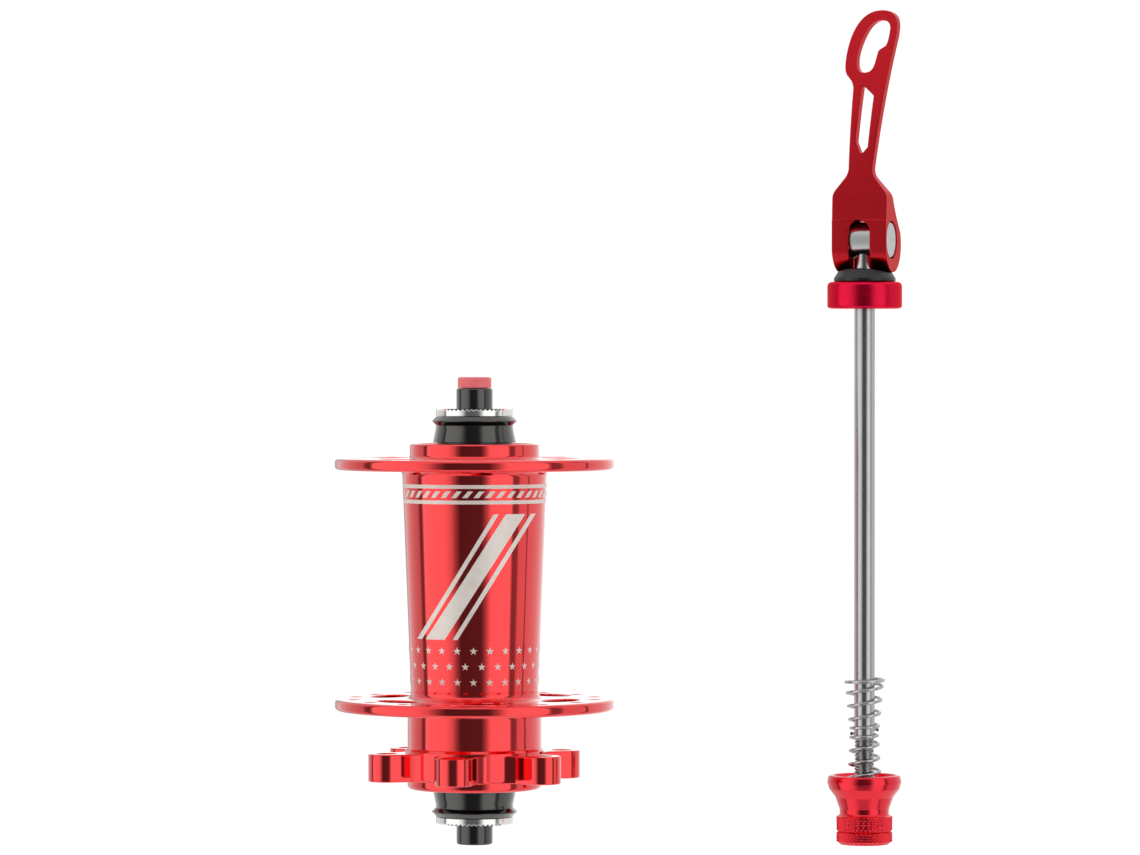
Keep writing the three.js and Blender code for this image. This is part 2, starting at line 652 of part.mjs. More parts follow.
// The slot that the rod swings in as the lever turns.
function rodSlotShape() {
  const half = ROD_RADIUS + LEVER_SLOT_CLEARANCE;
  const shape = new THREE.Shape();
  shape.moveTo(-half, -3 * camRadius);
  shape.lineTo(half, -3 * camRadius);
  shape.absarc(0, leverSlotTop - half, half, 0, Math.PI, false);
  return shape;
}

function lever() {
  const reach = 2 * LEVER_HALF_WIDTH;
  const pinHole = upright(PIN_RADIUS + PIN_CLEARANCE, -reach, reach, SKEWER_SIDES).rotateY(Math.PI / 2);
  const body = acrossLever(leverSideShape(), LEVER_HALF_WIDTH, CAM_STEPS)
    .intersect(throughLever(leverFrontShape(), 5))
    .subtract(throughLever(rodSlotShape(), 8))
    .subtract(throughLever(fingerHoleShape(), 3))
    .subtract(throughLever(armSlotShape(), 1))
    .subtract(solid(pinHole));
  return surface(body);
}

// The barrel pin, with the cross hole that the rod screws into.
function camPin() {
  const half = LEVER_HALF_WIDTH - PIN_CLEARANCE;
  const barrel = upright(PIN_RADIUS, -half, half, SKEWER_SIDES).rotateY(Math.PI / 2);
  const crossRadius = rodClearRadius + CONTACT_GAP;
  const crossHole = upright(crossRadius, -2 * PIN_RADIUS, ROD_IN_PIN + RUNNING_GAP, SKEWER_SIDES);
  return surface(solid(barrel).subtract(solid(crossHole)));
}

// The domed washer under the cam, hollowed on top along the pin's direction.
function camWasher() {
  const foot = washerBottom - pivotZ;
  const bore = rodClearRadius + CONTACT_GAP;
  const dome = turnedSolid([
    [bore, foot],
    [WASHER_RADIUS, foot],
    [WASHER_RADIUS, foot + WASHER_EDGE_HEIGHT],
    [WASHER_RADIUS - WASHER_TOP_STEP, foot + WASHER_HEIGHT, WASHER_ROUND],
    [bore, foot + WASHER_HEIGHT],
  ], SKEWER_SIDES);
  const reach = 2 * WASHER_RADIUS;
  const saddle = upright(SADDLE_RADIUS, -reach, reach, 3 * SKEWER_SIDES).rotateY(Math.PI / 2);
  return surface(dome.subtract(solid(saddle.translate(0, 0, foot + WASHER_FLOOR + SADDLE_RADIUS))));
}

function endCollar() {
  const bore = rodClearRadius + CONTACT_GAP;
  return turned([
    [bore, collarBottom],
    [COLLAR_RADIUS, collarBottom, COLLAR_LOWER_ROUND],
    [COLLAR_RADIUS, collarBottom + COLLAR_HEIGHT, COLLAR_UPPER_ROUND],
    [bore, collarBottom + COLLAR_HEIGHT],
  ], SKEWER_SIDES);
}

function adjustingNut() {
  const insertBore = insertRadius + FIT_CLEARANCE;
  const rodBore = rodClearRadius + FIT_CLEARANCE;
  const knurlRadius = insertRadius + NUT_KNURL_WALL;
  const waistRadius = insertRadius + NUT_WAIST_WALL;
  const rimRadius = nutCupFloorRadius + NUT_RIM_WALL;
  const grooveMiddle = baseZ + NUT_GROOVE_HEIGHT;
  return turned([
    [rodBore, baseZ],
    [knurlRadius, baseZ, NUT_EDGE_ROUND],
    [knurlRadius, grooveMiddle - NUT_GROOVE_HALF_WIDTH],
    [knurlRadius - NUT_GROOVE_DEPTH, grooveMiddle],
    [knurlRadius, grooveMiddle + NUT_GROOVE_HALF_WIDTH],
    [knurlRadius, baseZ + NUT_WAIST_HEIGHT - NUT_KNURL_CHAMFER],
    [waistRadius, baseZ + NUT_WAIST_HEIGHT],
    [waistRadius + NUT_NECK_WIDENING, baseZ + NUT_HEIGHT - NUT_FLARE_FROM_TOP],
    [rimRadius, baseZ + NUT_HEIGHT - NUT_RIM_FROM_TOP, NUT_EDGE_ROUND],
    [rimRadius, baseZ + NUT_HEIGHT, NUT_EDGE_ROUND],
    [rimRadius - NUT_RIM_WIDTH, baseZ + NUT_HEIGHT],
    [nutCupFloorRadius, baseZ + NUT_CUP_FLOOR],
    [insertBore, baseZ + NUT_CUP_FLOOR],
    [insertBore, baseZ + NUT_FLOOR_THICKNESS],
    [rodBore, baseZ + NUT_FLOOR_THICKNESS],
  ], SKEWER_SIDES);
}

// The threaded sleeve inside the adjusting nut.
function nutInsert() {
  return turned([
    [rodClearRadius, baseZ + NUT_FLOOR_THICKNESS + CONTACT_GAP],
    [insertRadius, baseZ + NUT_FLOOR_THICKNESS + CONTACT_GAP],
    [insertRadius, baseZ + NUT_CUP_FLOOR - FIT_CLEARANCE],
    [rodClearRadius, baseZ + NUT_CUP_FLOOR - FIT_CLEARANCE],
  ], SKEWER_SIDES);
}

// A conical helix about the Z axis, whose first and last turns lie closed against their neighbours.
class ConicalCoil extends THREE.Curve {
  constructor(lowRadius, highRadius, low, high, turns) {
    super();
    Object.assign(this, { lowRadius, highRadius, low, high, turns });
  }

  getPoint(t) {
    const turn = this.turns * t;
    const angle = 2 * Math.PI * turn;
    const radius = THREE.MathUtils.lerp(this.lowRadius, this.highRadius, t);
    const openPitch = (this.high - this.low - 2 * SPRING_CLOSED_PITCH) / (this.turns - 2);
    const openTurns = THREE.MathUtils.clamp(turn - 1, 0, this.turns - 2);
    const height = this.low + (turn - openTurns) * SPRING_CLOSED_PITCH + openTurns * openPitch;
    return new THREE.Vector3(radius * Math.cos(angle), radius * Math.sin(angle), height);
  }
}

function spring(lowRadius, highRadius, low, high, turns) {
  const circle = new THREE.Path().absarc(0, 0, WIRE_RADIUS, 0, 2 * Math.PI);
  const section = new THREE.Shape(circle.getPoints(3));
  const extrudePath = new ConicalCoil(lowRadius, highRadius, low + WIRE_RADIUS, high - WIRE_RADIUS, turns);
  const steps = Math.round(turns * SPRING_STEPS_PER_TURN);
  return surface(solid(new THREE.ExtrudeGeometry(section, { steps, extrudePath })));
}

function lowerSpring() {
  const low = baseZ + NUT_CUP_FLOOR + FIT_CLEARANCE;
  const high = low + LOWER_SPRING_LENGTH;
  return spring(lowerSpringRadius, springNoseRadius, low, high, LOWER_SPRING_TURNS);
}

function upperSpring() {
  const low = baseZ + NUT_CUP_FLOOR + LOWER_SPRING_LENGTH + 2 * FIT_CLEARANCE;
  const high = low + UPPER_SPRING_LENGTH;
  return spring(springNoseRadius, upperSpringRadius, low, high, UPPER_SPRING_TURNS);
}

// Finishes: colour, roughness, metalness
const redShell = [0xd01020, 0.15, 1];
const redLever = [0x9c0512, 0.3, 1];
const redCollar = [0xd2052f, 0.25, 1];
const redNut = [0xe0202c, 0.25, 1];
const redPlastic = [0xe9545c, 0.5, 0];
const blackAnodised = [0x141416, 0.3, 0.9];
const chromedSteel = [0xdcdcdc, 0.12, 1];
const polishedSteel = [0xb9bbbd, 0.2, 1];
const bearingSteel = [0xa9abae, 0.25, 1];
const bareAluminium = [0xb4b6b8, 0.35, 1];
const blackRubber = [0x17181a, 0.8, 0];
const blackPlastic = [0x2a2c2f, 0.6, 0];

const group = new THREE.Group();

function addPiece(name, geometry, [color, roughness, metalness], parent = group) {
  const material = new THREE.MeshStandardMaterial({ color, roughness, metalness });
  const piece = new THREE.Mesh(geometry, material);
  piece.name = name;
  parent.add(piece);
  return piece;
}

addPiece('hub_shell', hubShell(), redShell);
addPiece('axle', axle(), bareAluminium);
addPiece('axle_plug', axlePlug(), redPlastic);

for (const [end, side] of [['top', 1], ['bottom', -1]]) {
  const endGroup = new THREE.Group();
  endGroup.rotation.x = side === 1 ? 0 : Math.PI;
  group.add(endGroup);
  addPiece(`end_cap_${end}`, endCap(), blackAnodised, endGroup);
  addPiece(`locknut_ring_${end}`, locknutRing(), chromedSteel, endGroup);
  addPiece(`o_ring_${end}`, oRing(), blackRubber, endGroup);

  const bearing = new THREE.Group();
  bearing.position.z = bearingMiddle;
  endGroup.add(bearing);
  addPiece(`bearing_${end}_outer_race`, outerRace(), bearingSteel, bearing);
  addPiece(`bearing_${end}_inner_race`, innerRace(), bearingSteel, bearing);
  addPiece(`bearing_${end}_ball_cage`, ballCage(), bearingSteel, bearing);
  addPiece(`bearing_${end}_outer_seal`, bearingSeal(1), blackRubber, bearing);
  addPiece(`bearing_${end}_inner_seal`, bearingSeal(-1), blackRubber, bearing);
}

const skewer = new THREE.Group();
skewer.position.x = skewerX;
group.add(skewer);
addPiece('skewer_rod', skewerRod(), polishedSteel, skewer);
addPiece('end_collar', endCollar(), redCollar, skewer);
addPiece('adjusting_nut', adjustingNut(), redNut, skewer);
addPiece('nut_insert', nutInsert(), bearingSteel, skewer);
addPiece('spring_lower', lowerSpring(), polishedSteel, skewer);
addPiece('spring_upper', upperSpring(), polishedSteel, skewer);

const camGroup = new THREE.Group();
camGroup.position.z = pivotZ;
camGroup.rotation.z = degrees(LEVER_TURN);
skewer.add(camGroup);
addPiece('lever', lever(), redLever, camGroup);
addPiece('cam_pin', camPin(), polishedSteel, camGroup);
addPiece('cam_washer', camWasher(), blackPlastic, camGroup);

export default group;
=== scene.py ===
"""A front disc hub and its quick-release skewer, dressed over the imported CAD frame.

The frame is in metres, with +Z up along the hub's axle and the disc side down. The shapes below are drawn in
millimetres and scaled when each piece is finished. The skewer stands beside the hub, at the place that its
CAD nodes give.
"""

import math

import bmesh
import bpy
from mathutils import Matrix, Vector


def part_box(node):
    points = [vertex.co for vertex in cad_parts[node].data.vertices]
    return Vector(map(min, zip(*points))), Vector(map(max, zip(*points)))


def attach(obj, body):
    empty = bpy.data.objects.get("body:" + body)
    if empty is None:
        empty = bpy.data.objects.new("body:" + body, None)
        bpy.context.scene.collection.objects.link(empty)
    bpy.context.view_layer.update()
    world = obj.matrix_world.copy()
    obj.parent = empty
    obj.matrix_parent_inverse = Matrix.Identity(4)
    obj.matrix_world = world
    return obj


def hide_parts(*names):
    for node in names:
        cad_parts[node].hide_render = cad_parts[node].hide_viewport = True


MM = 0.001
TURN = 2 * math.pi

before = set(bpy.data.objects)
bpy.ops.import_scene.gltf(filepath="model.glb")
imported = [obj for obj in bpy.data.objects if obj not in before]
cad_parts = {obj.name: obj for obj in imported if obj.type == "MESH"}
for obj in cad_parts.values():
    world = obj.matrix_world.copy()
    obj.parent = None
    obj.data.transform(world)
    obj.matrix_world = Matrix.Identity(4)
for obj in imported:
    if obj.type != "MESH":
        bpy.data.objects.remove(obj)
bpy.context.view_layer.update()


# ---------------------------------------------------------------- places read from the CAD frame


def corner(node, end, axis):
    """One coordinate of a CAD node's box, in millimetres: end 0 is the low corner and 1 the high one."""
    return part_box(node)[end][axis] / MM


SHELL_END = corner("hub_shell", 1, 2)
FLANGE_RADIUS = corner("hub_shell", 1, 0)
AXLE_END = corner("end_cap_top", 1, 2)
RING_FACE = corner("locknut_ring_top", 1, 2)
SKEWER_X = (corner("skewer_rod", 0, 0) + corner("skewer_rod", 1, 0)) / 2
PIVOT_Z = (corner("cam_pin", 0, 2) + corner("cam_pin", 1, 2)) / 2
COLLAR_LOW = corner("end_collar", 0, 2)
COLLAR_HIGH = corner("end_collar", 1, 2)
WASHER_LOW = corner("cam_washer", 0, 2)
NUT_LOW = corner("adjusting_nut", 0, 2)
ROD_LOW = corner("skewer_rod", 0, 2)
ROD_HIGH = corner("skewer_rod", 1, 2)

# Shell: barrel, flanges and the disc mount's lobes
UPPER_FLANGE_TOP = SHELL_END - 3.5
LOWER_FLANGE_TOP = 21.8 - SHELL_END
FLANGE_THICKNESS = 2.8
SEAT_RADIUS = 14.1
BOSS_RADIUS = 15.65
NECK_RADIUS = 16.2
SHOULDER_RADIUS = 16.75
CORE_RADIUS = 12
SEAT_FLOOR = SHELL_END - 8.25
BARREL_UPPER = 17.5
BARREL_LOWER = 15.35
DISC_SEAT = 2.2 - SHELL_END
LOBE_THICKNESS = 6.7
LOBE_CIRCLE = 22
LOBE_RADIUS = 4.5
LOBE_ANGLE = math.radians(18)
LOBE_COUNT = 6
LOBE_EDGE = 0.35
LOBE_ROOT = NECK_RADIUS + 1.3
HOLLOW_BEND = NECK_RADIUS - 0.9
BOLT_RADIUS = 2.25
BOLT_CHAMFER = 0.35
SPOKE_COUNT = 16
SPOKE_RADIUS = 1.3
SPOKE_CIRCLE = FLANGE_RADIUS - 4.35
WINDOW_COUNT = 6
WINDOW_RADII = (4.15, 6.75)
WINDOW_CIRCLE = 22.4
WINDOW_ANGLE = math.radians(-23)
HOLE_CHAMFER = 0.3

# Etched decoration: two ring lines with dashes between them, slanted bars and rows of stars
ETCH_OUT = 0.025
ETCH_IN = 0.06
LOWER_LINE = (27.4, 28.3)
UPPER_LINE = (31.1, 32)
DASH_COUNT = 40
DASH_LOW = 28.9
DASH_HEIGHT = 1.6
DASH_ANGLE = 0.075
DASH_SLANT = 0.02
BAR_LOW = -5
BAR_HIGH = 25
WIDE_BAR = 4.6
THIN_BAR = 1.2
STAR_ROWS = (-7.7, -11.45, -15.2)
STARS_A_ROW = 25
STAR_RADIUS = 0.98
STAR_WAIST = 0.4

# Bearings, axle and end caps
BEARING_FACE = SHELL_END - 1.2
BEARING_WIDTH = 7
BEARING_MIDDLE = BEARING_FACE - BEARING_WIDTH / 2
BEARING_BORE = 7.5
BEARING_RADIUS = 14
INNER_RACE = 9.3
OUTER_RACE = 12.2
RACEWAY_DEPTH = 0.45
RACEWAY_HALF = 1.7
BALL_CIRCLE = 10.75
BALL_RADIUS = 1.8
BALL_COUNT = 11
CAGE_RADII = (10.2, 11.3)
CAGE_HALF = 1.4
SEAL_THICKNESS = 0.5
SEAL_HOLLOW = 0.12
AXLE_BORE = 6
AXLE_RADIUS = 7.45
AXLE_SHOULDER = 8.5
CAP_FACE = BEARING_FACE + 0.05
CAP_BORE = 3.1
CAP_WAIST = 9.35
CAP_FOOT = 10.05
STUB_RADIUS = 4.4
STEM_RADIUS = 5.85
STEM_LENGTH = 8
LIP_DEPTH = 1.05
GROOVE_RADIUS = 5.05
GROOVE_HALF = 0.5
GROOVE_MIDDLE = CAP_FACE - 4
O_RING_CIRCLE = 5.5
O_RING_WIRE = 0.4
RING_SEAT = RING_FACE - 1.85
RING_BORE = 4.5
RING_HEIGHT = 1.8
RING_TEETH = 52
TOOTH_DEPTH = 0.45
PLUG_RADIUS = 4.05
PLUG_HEIGHT = 2.6
PLUG_STEM_RADIUS = 3
PLUG_STEM_LENGTH = 4.5

# Skewer
ROD_RADIUS = 2.5
ROD_CHAMFER = 0.5
ROD_CLEARANCE = 2.65
THREAD_PITCH = 0.8
THREAD_DEPTH = 0.42
THREAD_TOP = ROD_LOW + 25
LEVER_TURN = math.radians(-19)
PIN_RADIUS = 4.3
PIN_HOLE_RADIUS = 4.5
WASHER_RADIUS = 7.45
WASHER_HEIGHT = 3.2
SADDLE_RADIUS = 14
COLLAR_RADIUS = 9
LEVER_HALF_WIDTH = 6.8
LEVER_FRONT = 5.3
LEVER_CREASE = 4.8
CAM_RADIUS = 6.9
CAM_CENTRE = (1.35, -0.9)
ARM_RADIUS = 110
ARM_LENGTH = 55.5
ARM_LEAN = math.radians(4)
ARM_THICKNESS = 2.8
ARM_BACK_START = 14
HEAD_TOP = 56
NECK_HALF = 3
NECK_HEIGHT = 17.6
SHOULDER_HEIGHT = 9.9
LEVER_EDGE = 0.22
NUT_HEIGHT = 16.7
KNURL_TEETH = 36
KNURL_RADIUS = 6.42
KNURL_DEPTH = 0.5
KNURL_FLAT = 0.7
KNURL_PITCH = TURN * 6.75 / KNURL_TEETH
KNURL_STEPS = 26
INSERT_RADIUS = 4
SPRING_WIRE = 0.4
SPRING_CLOSED_PITCH = 0.9
SPRING_MIDDLE_RADIUS = 3.1

# Room kept where a cut passes right through, and a reach past the whole lever
OVER = 1
FAR = 40


# ---------------------------------------------------------------- outlines


def rounded(corners, steps=6):
    """A closed outline with its corners rounded. Each corner is (x, y) or (x, y, rounding radius)."""
    points = []
    for i, (x, y, *extra) in enumerate(corners):
        here = Vector((x, y))
        if not extra:
            points.append(here)
            continue
        back = Vector(corners[i - 1][:2]) - here
        ahead = Vector(corners[(i + 1) % len(corners)][:2]) - here
        half = back.angle(ahead) / 2
        trim = min(extra[0] / math.tan(half), 0.49 * min(back.length, ahead.length))
        start = here + back.normalized() * trim
        end = here + ahead.normalized() * trim
        centre = here + (back.normalized() + ahead.normalized()).normalized() * (trim / math.cos(half))
        a, b = start - centre, end - centre
        sweep = math.atan2(a.x * b.y - a.y * b.x, a.dot(b))
        for k in range(steps + 1):
            points.append(centre + Matrix.Rotation(sweep * k / steps, 2) @ a)
    return points


def path(start, *moves, steps=10):
    """An outline of lines (one point), quadratic curves (two points) and cubic curves (three points)."""
    points = [Vector(start)]
    for move in moves:
        controls = [points[-1]] + [Vector(p) for p in move]
        count = 1 if len(controls) == 2 else steps
        for k in range(1, count + 1):
            row = controls
            while len(row) > 1:
                row = [a.lerp(b, k / count) for a, b in zip(row, row[1:])]
            points.append(row[0])
    return points


def arc(centre, radius, start, end, steps):
    """Points on a circle from one angle to another."""
    angles = [start + (end - start) * k / steps for k in range(steps + 1)]
    return [Vector((centre[0] + radius * math.cos(a), centre[1] + radius * math.sin(a))) for a in angles]


# ---------------------------------------------------------------- meshes

NORMAL_WEIGHT = 60


def revolved(section_at, sides):
    """A closed mesh from sections (radius, height) standing at equal angles about Z."""
    verts, columns, faces = [], [], []
    for k in range(sides):
        angle = TURN * k / sides
        column = []
        for j, (r, z) in enumerate(section_at(angle)):
            if r < 1e-6 and k > 0:
                column.append(columns[0][j])
            else:
                column.append(len(verts))
                verts.append((r * math.cos(angle), r * math.sin(angle), z))
        columns.append(column)
    for k in range(sides):
        here, there = columns[k], columns[(k + 1) % sides]
        for j in range(len(here)):
            m = (j + 1) % len(here)
            face = list(dict.fromkeys((here[j], there[j], there[m], here[m])))
            if len(face) > 2:
                faces.append(face)
    return verts, faces


def turned(corners, sides=128, steps=6):
    """A closed mesh from one outline of (radius, height) corners turned about Z."""
    outline = rounded(corners, steps)
    return revolved(lambda angle: outline, sides)


def prism(outline, low, high, place):
    """An outline pushed from low to high; place turns (x, y, depth) into a point."""
    count = len(outline)
    verts = [place(p[0], p[1], d) for d in (low, high) for p in outline]
    sides = [[k, (k + 1) % count, count + (k + 1) % count, count + k] for k in range(count)]
    return verts, [list(range(count)), list(range(count, 2 * count)), *sides]


def moved(shape, matrix):
    verts, faces = shape
    return [tuple(matrix @ Vector(v)) for v in verts], faces


def merged(shapes):
    verts, faces = [], []
    for some_verts, some_faces in shapes:
        first = len(verts)
        verts += some_verts
        faces += [[first + i for i in face] for face in some_faces]
    return verts, faces


def solid(shape, name="work"):
    """An object, still in millimetres, with its faces turned outward."""
    verts, faces = shape
    mesh = bpy.data.meshes.new(name)
    mesh.from_pydata(verts, [], faces)
    work = bmesh.new()
    work.from_mesh(mesh)
    bmesh.ops.recalc_face_normals(work, faces=work.faces)
    work.to_mesh(mesh)
    work.free()
    obj = bpy.data.objects.new(name, mesh)
    bpy.context.scene.collection.objects.link(obj)
    return obj


def apply_modifiers(obj):
    """Puts the mesh that the modifiers make in the place of obj's own."""
    depsgraph = bpy.context.evaluated_depsgraph_get()
    mesh = bpy.data.meshes.new_from_object(obj.evaluated_get(depsgraph))
    obj.modifiers.clear()
    old = obj.data
    obj.data = mesh
    bpy.data.meshes.remove(old)


def combined(obj, operation, shape):
    """obj after a DIFFERENCE, UNION or INTERSECT with another shape."""
    tool = solid(shape, "tool")
    modifier = obj.modifiers.new("combine", "BOOLEAN")
    modifier.operation = operation
    modifier.solver = "EXACT"
    modifier.object = tool
    apply_modifiers(obj)
    bpy.data.objects.remove(tool)
    return obj


def softened(obj, width, segments, angle):
    """obj with its edges sharper than an angle, in degrees, rounded over."""
    modifier = obj.modifiers.new("soften", "BEVEL")
    modifier.width = width
    modifier.segments = segments
    modifier.limit_method = "ANGLE"
    modifier.angle_limit = math.radians(angle)
    modifier.use_clamp_overlap = False
    modifier.miter_outer = "MITER_ARC"
    apply_modifiers(obj)
    return obj


def finished(obj, name, material, body, stands_for=(), place=None, sharp=32):
    """Scales obj to metres, sets it in place, shades it and ties it to its CAD body."""
    obj.name = name
    obj.data.name = name
    obj.data.transform(Matrix.Scale(MM, 4) @ (place or Matrix.Identity(4)))
    obj.data.shade_smooth()
    obj.data.set_sharp_from_angle(angle=math.radians(sharp))
    modifier = obj.modifiers.new("normals", "WEIGHTED_NORMAL")
    modifier.keep_sharp = True
    modifier.weight = NORMAL_WEIGHT
    apply_modifiers(obj)
    obj.data.materials.clear()
    obj.data.materials.append(material)
    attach(obj, body)
    if stands_for:
        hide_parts(*stands_for)
    return obj


SKEWER = Matrix.Translation((SKEWER_X, 0, 0))
CAM = Matrix.Translation((SKEWER_X, 0, PIVOT_Z)) @ Matrix.Rotation(LEVER_TURN, 4, "Z")
ACROSS = Matrix.Rotation(math.pi / 2, 4, "Y")
ENDS = {"top": Matrix.Identity(4), "bottom": Matrix.Rotation(math.pi, 4, "X")}


# ---------------------------------------------------------------- materials


def noise(tree, place, scale, detail, stretch):
    """Grey noise on the piece's own coordinates, drawn out along the axes whose stretch is small."""
    mapping = tree.nodes.new("ShaderNodeMapping")
    mapping.inputs["Scale"].default_value = stretch
    tree.links.new(place, mapping.inputs["Vector"])
    texture = tree.nodes.new("ShaderNodeTexNoise")
    texture.inputs["Scale"].default_value = scale
    texture.inputs["Detail"].default_value = detail
    tree.links.new(mapping.outputs["Vector"], texture.inputs["Vector"])
    return texture.outputs["Fac"]


def ranged(tree, value, low, high):
    """Noise, which mostly lies between 0.3 and 0.7, spread from low to high."""
    node = tree.nodes.new("ShaderNodeMapRange")
    node.inputs["From Min"].default_value = 0.3
    node.inputs["From Max"].default_value = 0.7
    node.inputs["To Min"].default_value = low
    node.inputs["To Max"].default_value = high
    tree.links.new(value, node.inputs["Value"])
    return node.outputs["Result"]


BROAD_SCALE = 90
FINE_SCALE = 700
COAT_ROUGHNESS = 0.03
RELIEF_STRENGTH = 0.3
TURNED_STRETCH = (0.03, 0.03, 1)
EVEN_STRETCH = (1, 1, 1)
WHITE = (1, 1, 1)


def finish(
    name, colour, roughness, metallic=1, coat=0, mottle=0.08, relief=0, turned_lines=False, edge=WHITE
):
    """A finish whose colour and gloss wander a little over the surface.

    mottle is how far the colour darkens, relief the height of the fine grain in millimetres, and edge the
    tint that a metal takes where it is seen at a low angle. turned_lines draws the grain out round Z.
    """
    material = bpy.data.materials.new(name)
    material.use_nodes = True
    tree = material.node_tree
    shader = tree.nodes["Principled BSDF"]
    place = tree.nodes.new("ShaderNodeTexCoord").outputs["Object"]
    stretch = TURNED_STRETCH if turned_lines else EVEN_STRETCH
    broad = noise(tree, place, BROAD_SCALE, 3, EVEN_STRETCH)
    fine = noise(tree, place, FINE_SCALE, 2, stretch)
    mix = tree.nodes.new("ShaderNodeMix")
    mix.data_type = "RGBA"
    mix.inputs["A"].default_value = (*[c * (1 - mottle) for c in colour], 1)
    mix.inputs["B"].default_value = (*colour, 1)
    tree.links.new(broad, mix.inputs["Factor"])
    tree.links.new(mix.outputs["Result"], shader.inputs["Base Color"])
    tree.links.new(ranged(tree, fine, roughness * 0.8, roughness * 1.2), shader.inputs["Roughness"])
    shader.inputs["Metallic"].default_value = metallic
    shader.inputs["Coat Weight"].default_value = coat
    shader.inputs["Coat Roughness"].default_value = COAT_ROUGHNESS
    shader.inputs["Specular Tint"].default_value = (*edge, 1)
    if relief:
        bump = tree.nodes.new("ShaderNodeBump")
        bump.inputs["Strength"].default_value = RELIEF_STRENGTH
        bump.inputs["Distance"].default_value = relief * MM
        tree.links.new(fine, bump.inputs["Height"])
        tree.links.new(bump.outputs["Normal"], shader.inputs["Normal"])
    return material


SHELL_RED = finish("shell_red", (0.88, 0.032, 0.037), 0.07, coat=1, mottle=0.06, turned_lines=True)
LEVER_RED = finish("lever_red", (0.47, 0.001, 0.009), 0.2, coat=0.3, mottle=0.06, edge=(1, 0.28, 0.33))
COLLAR_RED = finish(
    "collar_crimson", (0.76, 0.004, 0.045), 0.33, coat=0.15, turned_lines=True, edge=(1, 0.3, 0.35)
)
NUT_RED = finish("nut_red", (0.84, 0.02, 0.04), 0.2, coat=0.4)
PLUG_PLASTIC = finish("plug_plastic", (1, 0.2, 0.22), 0.5, metallic=0, mottle=0.05, relief=0.01)
BLACK = finish("black_anodised", (0.055, 0.055, 0.052), 0.16, coat=1, mottle=0.12, turned_lines=True)
CHROME = finish("chromed_steel", (0.86, 0.86, 0.85), 0.12, mottle=0.06)
STEEL = finish("polished_steel", (0.5, 0.51, 0.52), 0.2, mottle=0.12, turned_lines=True)
BEARING_STEEL = finish("bearing_steel", (0.45, 0.46, 0.47), 0.22, mottle=0.1, turned_lines=True)
ALUMINIUM = finish("bare_aluminium", (0.58, 0.59, 0.6), 0.32, mottle=0.1, turned_lines=True)
RUBBER = finish("black_rubber", (0.012, 0.012, 0.013), 0.7, metallic=0, mottle=0.2, relief=0.02)
WASHER_PLASTIC = finish("black_plastic", (0.01, 0.011, 0.013), 0.35, metallic=0, mottle=0.15, relief=0.01)
ETCHED = finish("etched_silver", (0.9, 0.86, 0.8), 0.5, metallic=0.35, mottle=0.08, relief=0.01)


# ---------------------------------------------------------------- hub shell


def countersunk(radii, low, high, edge, sides):
    """A cutter for a hole, round or oval, that leaves a 45 degree chamfer on both faces."""
    rings = [(low - OVER, edge + OVER), (low + edge, 0), (high - edge, 0), (high + OVER, edge + OVER)]
    verts, faces = [], []
    for z, more in rings:
        for k in range(sides):
            a = TURN * k / sides
            verts.append(((radii[0] + more) * math.cos(a), (radii[1] + more) * math.sin(a), z))
    for ring in range(len(rings) - 1):
        for k in range(sides):
            m = (k + 1) % sides
            faces.append([ring * sides + k, ring * sides + m, (ring + 1) * sides + m, (ring + 1) * sides + k])
    last = (len(rings) - 1) * sides
    faces.append(list(range(sides)))
    faces.append(list(range(last, last + sides)))
    return verts, faces


def around(shape, radius, count, first_angle):
    """Copies of a shape set at a radius and turned about Z."""
    out = Matrix.Translation((radius, 0, 0))
    return [moved(shape, Matrix.Rotation(first_angle + TURN * k / count, 4, "Z") @ out) for k in range(count)]


def flange_holes(top, spoke_angle):
    """Cutters for one flange's spoke holes and oval windows."""
    low = top - FLANGE_THICKNESS
    spoke = countersunk((SPOKE_RADIUS, SPOKE_RADIUS), low, top, HOLE_CHAMFER, 28)
    window = countersunk(WINDOW_RADII, low, top, HOLE_CHAMFER, 64)
    spokes = around(spoke, SPOKE_CIRCLE, SPOKE_COUNT, spoke_angle)
    return spokes + around(window, WINDOW_CIRCLE, WINDOW_COUNT, WINDOW_ANGLE)


def disc_mount():
    """Six lobes with hollows between them, as a solid with softened edges and an open middle."""
    points = []
    apart = TURN / LOBE_COUNT
    for i in range(LOBE_COUNT):
        angle = LOBE_ANGLE + TURN * i / LOBE_COUNT
        out = Vector((math.cos(angle), math.sin(angle)))
        side = Vector((-out.y, out.x))
        points += arc(out * LOBE_CIRCLE, LOBE_RADIUS, angle - math.pi / 2, angle + math.pi / 2, 24)
        after = angle + apart
        ahead = Vector((math.cos(after), math.sin(after)))
        between = angle + apart / 2
        valley = Vector((math.cos(between), math.sin(between)))
        start = out * LOBE_ROOT + side * LOBE_RADIUS
        end = ahead * LOBE_ROOT - Vector((-ahead.y, ahead.x)) * LOBE_RADIUS
        points += path(start, (valley * HOLLOW_BEND, end), steps=14)
    mount = solid(prism(points, DISC_SEAT, DISC_SEAT + LOBE_THICKNESS, lambda x, y, d: (x, y, d)))
    softened(mount, LOBE_EDGE, 3, 60)
    inside, foot = NECK_RADIUS - OVER, -SHELL_END - OVER
    core = turned([(0, foot), (inside, foot), (inside, 0), (0, 0)])
    return combined(mount, "DIFFERENCE", core)


